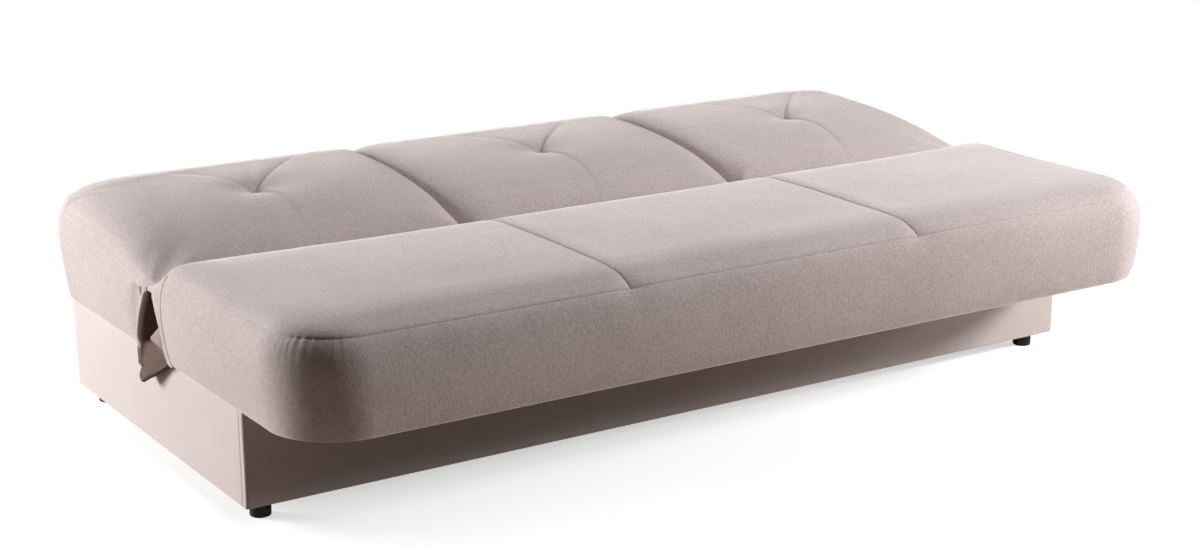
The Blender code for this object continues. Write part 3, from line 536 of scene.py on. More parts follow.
def swell(shell, pinned):
    """How far each point of a coarse shell moves when its cloth is blown up between pins."""
    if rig.quick():
        return np.zeros_like(shell.points())
    points = shell.points()
    obj = mesh_object("swelling", points, shell.faces())
    group = obj.vertex_groups.new(name="pins")
    group.add([int(i) for i in np.nonzero(pinned)[0]], 1.0, "REPLACE")
    cloth = obj.modifiers.new("cloth", "CLOTH")
    for name, value in CLOTH.items():
        setattr(cloth.settings, name, value)
    cloth.settings.effector_weights.gravity = 0.0
    cloth.point_cache.frame_start, cloth.point_cache.frame_end = 1, SWELL_FRAMES
    scene = bpy.context.scene
    for number in range(1, SWELL_FRAMES + 1):
        scene.frame_set(number)
    graph = bpy.context.evaluated_depsgraph_get()
    flat = np.zeros(len(points) * 3, np.float32)
    obj.evaluated_get(graph).data.vertices.foreach_get("co", flat)
    travel = flat.reshape(-1, 3) - points
    length = np.linalg.norm(travel, axis=1, keepdims=True)
    travel *= np.tanh(length / SWELL_LIMIT) * SWELL_LIMIT / np.maximum(length, 1e-9)
    bpy.data.objects.remove(obj, do_unlink=True)
    scene.frame_set(1)
    return travel


def carry(coarse, fine, travel):
    """Carry the coarse shell's movement to the fine one's points."""
    border, top = coarse.split(travel)

    def ends(plan):
        return np.linspace(0, 1, plan.end_cells + 1)

    def across(plan):
        left = -STRAIGHT - np.linspace(1, 0, plan.corner_cells, endpoint=False)
        right = STRAIGHT + np.linspace(0, 1, plan.corner_cells + 1)[1:]
        return np.concatenate([left, plan.middle, right])

    by_column = resample(across(fine.plan), across(coarse.plan))
    by_row = resample(ends(fine.plan), ends(coarse.plan))
    fine_top = np.einsum("ac,cdk,bd->abk", by_column, top, by_row)
    width = 2 * STRAIGHT + 2

    def around(plan):
        front = across(plan)[:-1] + STRAIGHT + 1
        right = width + ends(plan)[:-1]
        rear = width + 1 + (STRAIGHT + 1 - across(plan)[:0:-1])
        left = 2 * width + 1 + ends(plan)[:-1]
        return np.concatenate([front, right, rear, left])

    knots = np.append(around(coarse.plan), 2 * width + 2)
    by_place = resample(around(fine.plan), knots, periodic=True)[:, :-1]
    by_level = resample(fine.row_from_seam, coarse.row_from_seam)
    fine_border = np.einsum("ac,bd,cdk->abk", by_level, by_place, border)
    return np.vstack([fine_border.reshape(-1, 3), fine_top[1:-1, 1:-1].reshape(-1, 3)])


def soft_noise(points, scale, seed, stretch=(1.0, 1.0, 1.0)):
    """Smooth unrepeating waves of about -1 to 1, from a few turned sines."""
    rng = np.random.default_rng(seed)
    total = np.zeros(len(points))
    for _ in range(9):
        direction = rng.normal(size=3) * np.array(stretch)
        wave = direction / scale * rng.uniform(2.0, 5.5) / max(np.linalg.norm(direction), 1e-6)
        total += np.sin(points @ wave + rng.uniform(0, 2 * math.pi))
    return total / 4.2


# Profiles of the blocks' sides as (inset, height) points: bottom to seam, seam to shoulder
SEAT_PROFILES = {
    "front": (
        [(0.012, BOTTOM), (0.003, 0.250), (0.0, 0.290), (0.001, 0.330), (0.007, 0.362), (0.024, 0.3905)],
        [(0.024, 0.3905), (0.030, 0.3965), (0.044, 0.4020), (0.074, 0.4062), (0.130, 0.4090)],
    ),
    "end": (
        [(0.015, BOTTOM), (0.008, 0.255), (0.002, 0.300), (0.0, 0.340), (0.006, 0.370), (0.019, 0.3905)],
        [(0.019, 0.3905), (0.028, 0.399), (0.043, 0.4045), (0.070, 0.4077), (0.110, 0.4092)],
    ),
    "rear": (
        [(0.001, BOTTOM), (0.0, 0.250), (0.0, 0.300), (0.001, 0.345), (0.004, 0.370), (0.011, 0.388)],
        [(0.011, 0.388), (0.016, 0.3965), (0.026, 0.4035), (0.045, 0.4075), (0.100, 0.4092)],
    ),
}
BACK_PROFILES = {
    "front": (
        [
            (0.127, BOTTOM),
            (0.121, 0.238),
            (0.110, 0.256),
            (0.087, 0.293),
            (0.061, 0.326),
            (0.030, 0.341),
            (0.011, 0.347),
            (0.0055, 0.355),
            (0.0095, 0.364),
        ],
        [(0.0095, 0.364), (0.020, 0.3745), (0.040, 0.386), (0.075, 0.3983), (0.115, 0.4085)],
    ),
    "end": (
        [(0.014, BOTTOM), (0.009, 0.250), (0.003, 0.300), (0.0, 0.345), (0.002, 0.380), (0.009, 0.408)],
        [(0.009, 0.408), (0.018, 0.424), (0.038, 0.4385), (0.068, 0.4455), (0.105, 0.4485)],
    ),
    "rear": (
        [(0.016, BOTTOM), (0.009, 0.250), (0.002, 0.300), (0.0, 0.345), (0.002, 0.375), (0.008, 0.402)],
        [(0.008, 0.402), (0.014, 0.420), (0.032, 0.4370), (0.062, 0.4450), (0.105, 0.4485)],
    ),
}


SEAT_CORNER = 0.140
SEAT_TOP = 0.4100
BACK_TOP_FROM = (0.118, 0.4085)


def panel_crown(least, more):
    """A function of x: how high each of the three panels stands up."""

    def crown(x):
        section = np.abs(np.abs(x) - TUFT_X) / CHANNEL_X
        section = np.where(np.abs(x) < CHANNEL_X, np.abs(x) / CHANNEL_X, section)
        return least + more * (1 - np.clip(section, 0, 1) ** 2)

    return crown


def seat_shell(grid):
    """The seat's skin: a panelled top, and a border round the front and the ends."""
    plan = Plan((SEAT_LOW.y, SEAT_HIGH.y), (SEAT_CORNER, 0.010), (-0.65, 0.4), grid)
    shares = (spread(0.19, grid[0], near_end=plan.fine), spread(0.108, grid[0], near_start=plan.fine))
    reach = ((0.11, 0.11), (0.05, 0.05))

    def top_height(y):
        return np.full(np.shape(y), SEAT_TOP)

    return Shell(plan, SEAT_PROFILES, shares, top_height, reach, panel_crown(0.0010, 0.0012))


def end_droop(x, y):
    """How far the back's roll sinks towards its ends, most at the left one."""
    fall = 0.007 * smoothstep(0.66, 0.98, np.abs(x)) * (0.4 + 0.6 * smoothstep(0.46, 0.05, y))
    return fall * np.where(x < 0, 1.0, 0.5)


def back_shell(grid):
    """The back's skin: it rises to the rear, and its front edge is a fat roll."""
    plan = Plan((BACK_LOW.y, BACK_HIGH.y), (0.034, 0.090), (0.6, -0.3), grid)
    shares = (spread(0.235, grid[0], near_end=plan.fine), spread(0.116, grid[0], near_start=plan.fine))
    reach = ((0.05, 0.035), (0.07, 0.07))

    def top_height(y):
        past = np.asarray(y, float) - BACK_TOP_FROM[0]
        rise = 0.0405 * (1 - np.exp(-np.clip(past, 0, 1) / 0.15))
        return BACK_TOP_FROM[1] + np.where(past < 0, 0.27 * past, rise)

    shell = Shell(plan, BACK_PROFILES, shares, top_height, reach, panel_crown(0.001, 0.003))
    for block in (shell.border, shell.top):
        x, y, z = np.moveaxis(block, -1, 0)
        z -= end_droop(x, y) * smoothstep(0.335, 0.385, z)
    return shell


def attributes(shell):
    """Per point: distance from the seam row, and how far it belongs to front and rear."""
    rows, count = shell.border.shape[:2]
    inner = (shell.plan.columns - 1) * (shell.plan.end_cells - 1)
    from_seam = np.concatenate([np.repeat(shell.row_from_seam, count), np.full(inner, 1.0)])
    of_front = np.concatenate([np.tile(shell.of_front, rows), np.zeros(inner)])
    of_rear = np.concatenate([np.tile(shell.of_rear, rows), np.zeros(inner)])
    return from_seam, of_front, of_rear


def crease(distance, wide, narrow):
    """A soft valley with a sharp line at its bottom, 1 at its middle."""
    away = np.abs(distance)
    return 0.55 * np.exp(-away / narrow) + 0.45 * np.exp(-((away / wide) ** 2))


def valley(distance, reach):
    """How two stuffed panels meet in a channel: steep at the bottom, flat at the reach."""
    return (1 - np.clip(np.abs(distance) / reach, 0, 1)) ** 2.3


# Pleats from a tuft: points from its middle, depth, and the side of their raised lip
PLEATS = (
    (
        [(0.0, 0.0), (0.018, -0.030), (0.030, -0.090), (0.012, -0.180), (-0.018, -0.250), (-0.03, -0.28)],
        0.0052,
        1,
    ),
    (
        [(0.0, 0.0), (-0.016, 0.036), (-0.044, 0.100), (-0.079, 0.139), (-0.117, 0.171), (-0.171, 0.204)],
        0.0048,
        1,
    ),
    ([(0.0, 0.0), (0.033, 0.038), (0.110, 0.120), (0.190, 0.195), (0.241, 0.228)], 0.0056, -1),
    ([(0.0, 0.0), (0.012, 0.045), (0.030, 0.090), (0.055, 0.180)], 0.0028, 1),
)
PLEAT_REACH = 0.32
TUFTS_ABOVE = 0.36


def pleat_depth(x, y, tuft_x):
    """How deep the pleats that run out from one tuft press the cloth in."""
    depth = np.zeros_like(x)
    near = (np.abs(x - tuft_x) < PLEAT_REACH) & (np.abs(y - TUFT_Y) < PLEAT_REACH)
    px, py = x[near] - tuft_x, y[near] - TUFT_Y
    total = np.zeros_like(px)
    for points, deep, side in PLEATS:
        line = through(points, np.linspace(0, 1, 60))
        best = np.full(len(px), 9.0)
        along = np.zeros(len(px))
        sign = np.ones(len(px))
        for k, (a, b) in enumerate(zip(line, line[1:])):
            span = b - a
            length = np.dot(span, span)
            share = np.clip(((px - a[0]) * span[0] + (py - a[1]) * span[1]) / length, 0, 1)
            dx, dy = px - a[0] - share * span[0], py - a[1] - share * span[1]
            distance = np.hypot(dx, dy)
            closer = distance < best
            best = np.where(closer, distance, best)
            along = np.where(closer, (k + share) / (len(line) - 1), along)
            sign = np.where(closer, np.sign(span[0] * dy - span[1] * dx), sign)
        fade = (1 - along) ** 1.1 * (1 - smoothstep(0.8, 1.0, along))
        fade = fade + 0.12 * (1 - smoothstep(0.85, 1.0, along))
        width = 0.009 + 0.012 * along
        hollow = 0.85 * deep * fade * crease(best, width, 0.0024)
        lip = deep * 0.18 * fade * np.exp(-(((best - 0.018) / 0.014) ** 2))
        total = np.maximum(total, hollow) - lip * np.where(sign * side > 0, 1.0, -0.35)
    depth[near] = total
    return depth


def finish_seat(shell, points, normals):
    """Seams, gathers and small unevenness of the seat, as places of its points."""
    from_seam, of_front, of_rear = attributes(shell)
    x, y, z = points.T
    of_end = 1 - of_front - of_rear
    # The seam round the edge, which fades towards the rear
    seam_strength = 1 - of_rear * 0.9 - of_end * 0.75 * smoothstep(-0.42, -0.16, y)
    depth = 0.0038 * crease(from_seam, 0.012, 0.0026) * seam_strength
    # The two cross seams, which pucker the border where they meet it
    cross = np.abs(np.abs(x) - CHANNEL_X)
    on_top = smoothstep(-0.002, 0.004, from_seam)
    depth += 0.0042 * crease(cross, 0.014, 0.0026) * on_top
    pucker = np.exp(-((cross / 0.030) ** 2)) * np.exp(-np.abs(from_seam) / 0.016) * of_front
    depth += 0.0045 * pucker
    # Small gathers under the seam, round the front corners
    corner = smoothstep(0.70, 0.86, np.abs(x)) * (y < SEAT_LOW.y + 0.16) * (from_seam < 0.004)
    ring = np.arctan2(np.abs(x) - (HALF - SEAT_CORNER), -(y - (SEAT_LOW.y + SEAT_CORNER)))
    gathers = np.sin(ring * 58 + 1.6 * np.sin(ring * 11) + np.sign(x))
    middle = smoothstep(0.15, 0.45, ring) * smoothstep(1.45, 1.15, ring)
    depth += 0.0011 * gathers * corner * middle * np.exp(-np.clip(-from_seam, 0, 1) / 0.020)
    slack = 0.0007 * soft_noise(points, 0.16, 3) + 0.00015 * soft_noise(points, 0.035, 4)
    return points - normals * (depth + slack)[:, None]


def finish_back(shell, points, normals):
    """Channels, tufts, pleats and the faint side seam of the back."""
    from_seam, of_front, of_rear = attributes(shell)
    x, y, z = points.T
    seam_strength = (1 - of_front) * smoothstep(0.10, 0.26, y)
    depth = 0.0022 * crease(from_seam, 0.010, 0.0026) * seam_strength
    cross = np.abs(x) - CHANNEL_X
    from_top = smoothstep(0.320, 0.375, z)
    channel = 0.0085 + 0.0060 * smoothstep(0.17, 0.03, y)
    depth += from_top * (channel * valley(cross, 0.085) + 0.0066 * crease(cross, 0.0075, 0.0018))
    for tuft_x in (-TUFT_X, 0.0, TUFT_X):
        away = np.hypot(x - tuft_x, y - TUFT_Y)
        high = z > TUFTS_ABOVE
        depth += high * (0.0050 * np.exp(-away / 0.016) + 0.0032 * np.exp(-((away / 0.065) ** 2)))
        depth += high * pleat_depth(x, y, tuft_x)
    slack = 0.0009 * soft_noise(points, 0.16, 7) + 0.00015 * soft_noise(points, 0.035, 8)
    points = points - normals * (depth + slack)[:, None]
    # Room for the gusset's pocket in the two front corners
    room = smoothstep(0.90, 0.95, np.abs(x)) * smoothstep(0.088, 0.070, y)
    room *= smoothstep(0.285, 0.300, z) * smoothstep(0.358, 0.349, z)
    points[:, 0] -= np.sign(x) * 0.034 * room
    return points


def prism(name, outline, low_x, high_x):
    """A closed solid from a (y, z) outline, run between two places along X."""
    bm = bmesh.new()
    face = bm.faces.new([bm.verts.new((low_x, y, z)) for y, z in outline])
    swept = bmesh.ops.extrude_face_region(bm, geom=[face])
    moved = [item for item in swept["geom"] if isinstance(item, bmesh.types.BMVert)]
    bmesh.ops.translate(bm, vec=(high_x - low_x, 0.0, 0.0), verts=moved)
    bmesh.ops.recalc_face_normals(bm, faces=bm.faces)
    mesh = bpy.data.meshes.new(name)
    bm.to_mesh(mesh)
    bm.free()
    return in_scene(bpy.data.objects.new(name, mesh))


def hollow_out(obj, cutters):
    """Cut solids from a block and keep the result as its mesh."""
    for cutter in cutters:
        boolean = obj.modifiers.new("hollow", "BOOLEAN")
        boolean.operation = "DIFFERENCE"
        boolean.solver = "MANIFOLD"
        boolean.object = cutter
    keep_modified(obj)
    for cutter in cutters:
        bpy.data.objects.remove(cutter, do_unlink=True)


# Hollows under the blocks, as part.py cuts them
SLOT_MARGIN = 0.030
SLOT_RISE = 0.020
ARM_PAD_DROP = 0.113
ARM_REACH = {"seat": 0.200, "back": 0.280}
SLOT_INNER = 0.8952
SLOT_OUTER = 0.9222
FRAME_ROOM = 0.0004


def hollows(block):
    """The room for a block's frame and springs, and for its hinge arms."""
    front_low, front_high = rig.box(f"{block}_rail_front")
    rear_low, rear_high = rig.box(f"{block}_rail_rear")
    spring_top = max(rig.box(f"{block}_spring_{n}")[1].z for n in (1, 2, 3, 4))
    low, ceiling = BOTTOM - SLOT_MARGIN, spring_top + FRAME_ROOM
    front, rear = front_low.y - FRAME_ROOM, rear_high.y + FRAME_ROOM
    half = front_high.x + FRAME_ROOM
    room = [(front, low), (front, ceiling), (rear, ceiling), (rear, low)]
    cutters = [prism(f"{block}_room", room, -half, half)]
    way = -1 if block == "seat" else 1
    far = way * (ARM_REACH[block] + SLOT_MARGIN)
    slot = [
        (-way * SLOT_MARGIN, HINGE_Z + SLOT_RISE),
        (0.0, HINGE_Z + SLOT_RISE),
        (far, HINGE_Z + SLOT_MARGIN - ARM_PAD_DROP),
        (far, low),
        (-way * SLOT_MARGIN, low),
    ]
    for sign in (-1, 1):
        ends = sorted((sign * SLOT_INNER, sign * SLOT_OUTER))
        cutters.append(prism(f"{block}_slot", slot, *ends))
    return cutters


BLOCKS = {
    "seat": {"shell": seat_shell, "finish": finish_seat, "step": 0.005, "end_cells": 112, "fill": 0.8},
    "back": {"shell": back_shell, "finish": finish_back, "step": 0.0042, "end_cells": 132, "fill": 0.7},
}
TUFT_PIN = 0.010
CHANNELS_ABOVE = 0.37


def pinned_points(block, shell):
    """The points that seams, channels and tufts hold down while the cloth swells."""
    from_seam, of_front, of_rear = attributes(shell)
    x, y, z = shell.points().T
    pinned = np.abs(from_seam) < 1e-6
    if block == "back":
        pinned &= of_front < 0.5
        pinned |= (np.abs(np.abs(x) - CHANNEL_X) < 1e-4) & (z > CHANNELS_ABOVE)
        for tuft_x in (-TUFT_X, 0.0, TUFT_X):
            away = np.hypot(x - tuft_x, y - TUFT_Y) + (z < TUFTS_ABOVE)
            pinned |= away < TUFT_PIN
            pinned[np.argmin(away)] = True
    pinned[: shell.border.shape[1]] = True
    return pinned


def make_block(block):
    """One padded block: swollen cloth over its shape, then its seams and hollows."""
    facts = BLOCKS[block]
    fine = facts["shell"]((facts["step"], facts["end_cells"], CORNER_CELLS))
    coarse = facts["shell"](COARSE_GRID)
    points = fine.points() + carry(coarse, fine, swell(coarse, pinned_points(block, coarse)))
    skin = mesh_object("skin", points, fine.faces())
    points = facts["finish"](fine, points, normals_of(skin))
    bpy.data.objects.remove(skin, do_unlink=True)
    ring = fine.border.shape[1]
    points[:ring, 2] = BOTTOM
    obj = mesh_object(f"{block}_upholstery", points, [*fine.faces(), range(ring - 1, -1, -1)])
    hollow_out(obj, hollows(block))
    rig.ride(obj, block)
    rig.replaces(obj, f"{block}_cover", f"{block}_foam")
    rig.slot(obj, "velour")
    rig.padded(obj, fill=facts["fill"])
    return obj


def cloth_body(name, rows, thick, loop=False, painted_shade=None):
    """A closed sheet from rows of points, thickened to the side away from its normals."""
    rows = np.asarray(rows, float)
    levels, count = rows.shape[:2]
    last = count if loop else count - 1
    faces = []
    for r in range(levels - 1):
        for c in range(last):
            here, beside = r * count + c, r * count + (c + 1) % count
            faces.append((here, beside, beside + count, here + count))
    obj = mesh_object(name, rows.reshape(-1, 3), faces)
    # The per-point values passed for a pocket are stored as its 'pocket' attribute: how much painted shade the
    # material lays on each point
    if painted_shade is not None:
        layer = obj.data.attributes.new("pocket", "FLOAT", "POINT")
        layer.data.foreach_set("value", np.ascontiguousarray(painted_shade, np.float32).ravel())
    solid = obj.modifiers.new("thickness", "SOLIDIFY")
    solid.thickness = thick
    solid.offset = -1.0
    keep_modified(obj)
    return obj


def box_outline(step, corner):
    """Points round the box from its front left corner, anticlockwise from above."""
    low_x, high_x = BOX_LOW.x, BOX_HIGH.x
    low_y, high_y = BOX_LOW.y, BOX_HIGH.y
    sides = [
        ((low_x, low_y), (1, 0), high_x - low_x),
        ((high_x, low_y), (0, 1), high_y - low_y),
        ((high_x, high_y), (-1, 0), high_x - low_x),
        ((low_x, high_y), (0, -1), high_y - low_y),
    ]
    points, outward = [], []
    for (x, y), (dx, dy), length in sides:
        run = spread(length - 2 * corner, step, True, True, NEAR_BOX_SEAM) * (length - 2 * corner)
        for along in run:
            points.append((x + dx * (along + corner), y + dy * (along + corner)))
            outward.append((dy, -dx))
        centre = (x + dx * (length - corner) - dy * corner, y + dy * (length - corner) + dx * corner)
        for turn in np.radians((22.5, 45.0, 67.5)):
            way = (dy * math.cos(turn) + dx * math.sin(turn), dy * math.sin(turn) - dx * math.cos(turn))
            points.append((centre[0] + corner * way[0], centre[1] + corner * way[1]))
            outward.append(way)
    return np.array(points), np.array(outward)


def make_base_cover():
    """The cloth pulled round the box: a hem below, a seam near each front corner."""
    outline, outward = box_outline(0.0125, 0.003)
    tall = BOX_HIGH.z - BOX_LOW.z
    from_corner = np.hypot(np.abs(outline[:, 0]) - BOX_HIGH.x, outline[:, 1] - BOX_LOW.y - 0.014)
    seam = 0.0013 * np.exp(-from_corner / 0.0016)
    rows = []
    for up in spread(tall, 0.011, True, True, NEAR_HEM) * tall:
        z = BOX_LOW.z + up
        up, down = z - BOX_LOW.z, BOX_HIGH.z - z
        level = np.column_stack([outline, np.full(len(outline), z)])
        off_edge = smoothstep(0, 0.03, up) * smoothstep(0, 0.03, down)
        wave = 0.5 + 0.5 * soft_noise(level, 0.16, 21, (1.0, 1.0, 0.5))
        pull = 0.5 + 0.5 * soft_noise(level, 0.035, 22, (1.0, 1.0, 0.15))
        near_top = math.exp(-(down / 0.035))
        out = 0.0006 + 0.0010 * wave * off_edge + 0.0007 * pull * near_top * smoothstep(0, 0.004, down)
        hem = 0.0005 * smoothstep(0.0135, 0.0115, up) * smoothstep(-0.0005, 0.0012, up)
        shift = outward * (out + hem - seam)[:, None]
        rows.append(level + np.column_stack([shift, np.zeros(len(outline))]))
    obj = cloth_body("base_cloth_wrap", rows[::-1], 0.0015, loop=True)
    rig.ride(obj, "base")
    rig.replaces(obj, "base_cover")
    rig.slot(obj, "base_cloth")
    round_box = 2 * (BOX_HIGH.x - BOX_LOW.x + BOX_HIGH.y - BOX_LOW.y)
    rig.sheet(obj, flat=(round_box, tall), held="stretched", rests_on=["base_board_front"])
    return obj


def make_dust_cloth(block):
    """The thin black cloth stapled under a block's frame."""
    low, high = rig.box(f"{block}_dust_cloth")
    across = np.linspace(low.x, high.x, 141)
    along = np.linspace(low.y, high.y, 45 if block == "seat" else 35)
    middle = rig.box(f"{block}_rail_middle")
    rail = RAIL_HIGH.y - RAIL_LOW.y + 0.004
    rows = []
    for y in along:
        places = np.column_stack([across, np.full(len(across), y), np.full(len(across), low.z)])
        edge = min(y - low.y, high.y - y)
        free = smoothstep(rail, rail + 0.05, edge) * smoothstep(rail, rail + 0.05, high.x - np.abs(across))
        off_middle = np.maximum(middle[0].x - across, across - middle[1].x)
        free = free * smoothstep(0.002, 0.05, off_middle)
        sag = 0.5 + 0.5 * soft_noise(places, 0.09, 31, (1.0, 0.5, 0.0))
        pull = np.exp(-edge / 0.03) * (0.5 + 0.5 * np.sin(across * 150))
        places[:, 2] += 0.0026 * np.clip(sag, 0, 1) * free + 0.0002 * pull * smoothstep(0, 0.01, edge)
        rows.append(places)
    obj = cloth_body(f"{block}_dust_sheet", rows[::-1], high.z - low.z)
    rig.ride(obj, block)
    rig.replaces(obj, f"{block}_dust_cloth")
    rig.slot(obj, "lining")
    frame_rails = [f"{block}_rail_front", f"{block}_rail_rear"]
    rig.sheet(obj, flat=(high.x - low.x, high.y - low.y), held="stretched", rests_on=frame_rails)
    return obj


# Gusset by height: how the closed strip parts, the pocket's two rims, and the flap's width
SPLIT = [(0.384, 0.004), (0.376, 0.014), (0.366, 0.029), (0.352, 0.043)]
SEAT_RIM = [(0.340, 0.037), (0.320, 0.026), (0.300, 0.013), (0.282, 0.004), (0.249, 0.0), (BOTTOM, 0.0)]
BACK_RIM = [(0.335, 0.062), (0.320, 0.074), (0.295, 0.090), (0.275, 0.102), (0.254, 0.113), (BOTTOM, 0.128)]
FLAP = [
    (0.292, 0.0),
    (0.277, 0.28),
    (0.262, 0.50),
    (0.244, 0.71),
    (0.236, 0.56),
    (0.226, 0.26),
    (0.2185, 0.0),
]
# Heights of the pouch's hem and cuff, by share of the way across
HEM = [(0.0, 0.2150), (0.30, 0.190), (0.76, 0.157), (1.0, 0.1790)]
CUFF = [(0.0, 0.2152), (0.30, 0.2030), (0.70, 0.1870), (1.0, 0.1795)]
# Height of the strip's top edge, by y
STRIP_TOP = [
    (-0.024, 0.384),
    (-0.008, 0.380),
    (0.004, 0.371),
    (0.02, 0.3655),
    (0.04, 0.3700),
    (0.06, 0.3765),
    (0.08, 0.3820),
    (0.1, 0.3860),
]
GUSSET_SEAM = -0.024
GUSSET_REACH = 0.013
CLOSED_REACH = 0.060
POCKET = 0.034
POUCH = 0.0120
POUCH_INNER_X, POUCH_TURN_X, CUFF_X = 0.9585, 0.9535, 0.9600
STRIP_ROWS = 46
GUSSET_THICKNESS = 0.0012
GUSSET_CUT = 0.24
OVERLAP_GAP = 0.0016
# Cells between the chosen points across, and the column at each of them
SPANS = (5, 6, 4, 6, 6, 5, 4, 6, 6, 6, 5, 5)
MARKS = np.concatenate([[0], np.cumsum(SPANS)])
ACROSS = np.arange(MARKS[-1] + 1)
HALVES = {"seat": slice(0, MARKS[9] + 1), "back": slice(MARKS[7], None)}
# Where each half's share of its block's motion starts and ends
BLENDS = {
    "seat": ((0.0, GUSSET_SEAM + 0.004, BOTTOM), (0.0, 0.020, BOTTOM)),
    "back": ((0.0, 0.100, BOTTOM), (0.0, 0.066, BOTTOM - 0.034)),
}


def by_height(table, z):
    """Read a table of (height, value) that runs downwards."""
    heights, values = zip(*sorted(table))
    return np.interp(z, heights, values)


def gusset_row(z, seat_x, back_x):
    """The chosen points across the gusset at one height, as (y, distance from the middle).

    They run from the seam with the seat over its rim, out and back along the flap, round the
    pocket, and over the back's rim to the seam with the back.
    """
    right = by_height(SPLIT + SEAT_RIM, z) - 0.0025
    left = by_height(SPLIT + BACK_RIM, z) + 0.0025
    wide = left - right
    depth = POCKET * float(smoothstep(0.004, 0.045, wide))
    depth = POUCH + (depth - POUCH) * float(smoothstep(0.2225, 0.238, z)) if z < 0.238 else depth
    depth = max(depth, 0.0035)
    deep = depth / POCKET
    flap = by_height(FLAP, z) * wide
    rim_x = min(seat_x, back_x) - 0.0015
    reach = GUSSET_REACH + (CLOSED_REACH - GUSSET_REACH) * float(smoothstep(0.330, 0.356, z))
    return [
        (GUSSET_SEAM, seat_x - 0.0007),
        ((GUSSET_SEAM + right) / 2, seat_x + 0.0002),
        (right, rim_x - 0.001 * deep),
        (right + flap * 0.55, rim_x - 0.006 * deep),
        (right + flap, rim_x - 0.009 * deep),
        (right + flap * 0.5, rim_x - 0.016 * deep),
        (right + 0.03 * wide, rim_x - 0.024 * deep),
        (right + 0.14 * wide, rim_x - depth),
        (right + 0.5 * wide, rim_x - depth),
        (right + 0.86 * wide, rim_x - depth * 0.78),
        (left, rim_x - 0.001 * deep),
        (left + reach * 0.5, back_x),
        (left + reach, back_x - 0.0036),
    ]


def end_of(block, sign, y, z, otherwise):
    """Where a block's end is at one place, found from outside it."""
    start, inward = Vector((sign * 1.2, y, z)), Vector((-sign, 0.0, 0.0))
    hit, place = block.ray_cast(start, inward, distance=0.35)[:2]
    return abs(place.x) if hit else otherwise


def strip_rows(sign, seat, back):
    """Rows from the junction's top to the blocks' bottom, and how much painted shade each point takes inside the
    pocket.
    """
    # Painted shade inside the pocket: full between its rims where they stand apart
    between = smoothstep(MARKS[2], MARKS[2] + 2, ACROSS) * smoothstep(MARKS[10], MARKS[10] - 2, ACROSS)
    on_flap = smoothstep(MARKS[2], MARKS[3], ACROSS) * smoothstep(MARKS[5], MARKS[4], ACROSS)
    top, open_from = SPLIT[0][0], SPLIT[-1][0]
    rows, painted_shades = [], []
    for z in np.linspace(top, BOTTOM, STRIP_ROWS):
        probe = max(z, BOTTOM + 0.004)
        behind = by_height(SPLIT + BACK_RIM, z) + (0.070 if z > 0.345 else 0.030)
        seat_x = end_of(seat, sign, GUSSET_SEAM - 0.003, probe, 0.955)
        back_x = end_of(back, sign, behind, probe, 0.960)
        line = smooth_line(gusset_row(z, seat_x, back_x), SPANS)
        share = max(0.0, (z - open_from) / (top - open_from))
        height = z + share * (np.interp(line[:, 0], *zip(*STRIP_TOP)) - top)
        rows.append(np.column_stack([sign * line[:, 1], line[:, 0], height]))
        wide = by_height(BACK_RIM, z) - by_height(SEAT_RIM, z)
        # The flap's outer face takes less painted shade above its lower edge, so it is painted lighter there
        lit = float(smoothstep(0.05, 0.3, by_height(FLAP, z)) * smoothstep(0.237, 0.244, z))
        painted_shades.append(between * float(smoothstep(0.005, 0.022, wide)) * (1 - 0.42 * on_flap * lit))
    return rows, painted_shades


def cap_rows(sign, top_row, seat, back):
    """Rows over the junction, where the strip lies on both blocks and dives between them."""

    def height_at(x, y):
        above, down = Vector((sign * x, y, 0.6)), Vector((0.0, 0.0, -1.0))
        hits = [block.ray_cast(above, down, distance=0.4) for block in (seat, back)]
        return max([hit[1].z for hit in hits if hit[0]], default=0.0)

    middle = np.exp(-(((top_row[:, 1] - 0.010) / 0.026) ** 4))
    rows = []
    for inward in (0.054, 0.040, 0.028, 0.018, 0.010, 0.004):
        row = top_row.copy()
        row[:, 0] -= sign * inward
        least = top_row[:, 2] - 0.0015 - 0.30 * inward
        height = np.array([max(height_at(abs(x), y), low) for (x, y), low in zip(row[:, :2], least)])
        for _ in range(5):
            beside = np.concatenate([height[:1], height, height[-1:]])
            height = (beside[:-2] + 2 * height + beside[2:]) / 4
        tuck = 0.0022 * np.exp(-(((row[:, 1] - 0.004) / 0.0035) ** 2))
        row[:, 2] = height - 0.0022 + 0.0026 * middle - tuck
        rows.append(row)
    return rows


def pouch_rows(sign, lowest):
    """Rows below the blocks: down to the hem, round it, and up again as a cuff."""
    first, last = lowest[MARKS[2], 1], lowest[MARKS[10], 1]
    share = np.clip((lowest[:, 1] - first) / (last - first), 0, 1)
    hem, cuff = (np.interp(share, *zip(*table)) for table in (HEM, CUFF))
    inner_x = np.minimum(np.abs(lowest[:, 0]), POUCH_INNER_X)
    lean = 0.014 * smoothstep(0.20, 0.70, share) * smoothstep(1.0, 0.80, share)
    fold = hem + 0.0015
    places = [(inner_x + lean * part, BOTTOM + (fold - BOTTOM) * part) for part in np.linspace(0, 1, 9)[1:]]
    for x, z in ((POUCH_TURN_X, hem - 0.0004), (CUFF_X - 0.002, fold)):
        places.append((np.maximum(x, inner_x) + lean, z))
    for part in np.linspace(0, 1, 7)[1:]:
        x = np.maximum(CUFF_X - 0.001 * part, inner_x + 0.0004) + lean * (1 - 0.5 * part)
        places.append((x, fold + (cuff - hem) * part))
    rows = []
    for x, z in places:
        row = lowest.copy()
        row[:, 0], row[:, 2] = sign * x, z
        rows.append(row)
    return rows


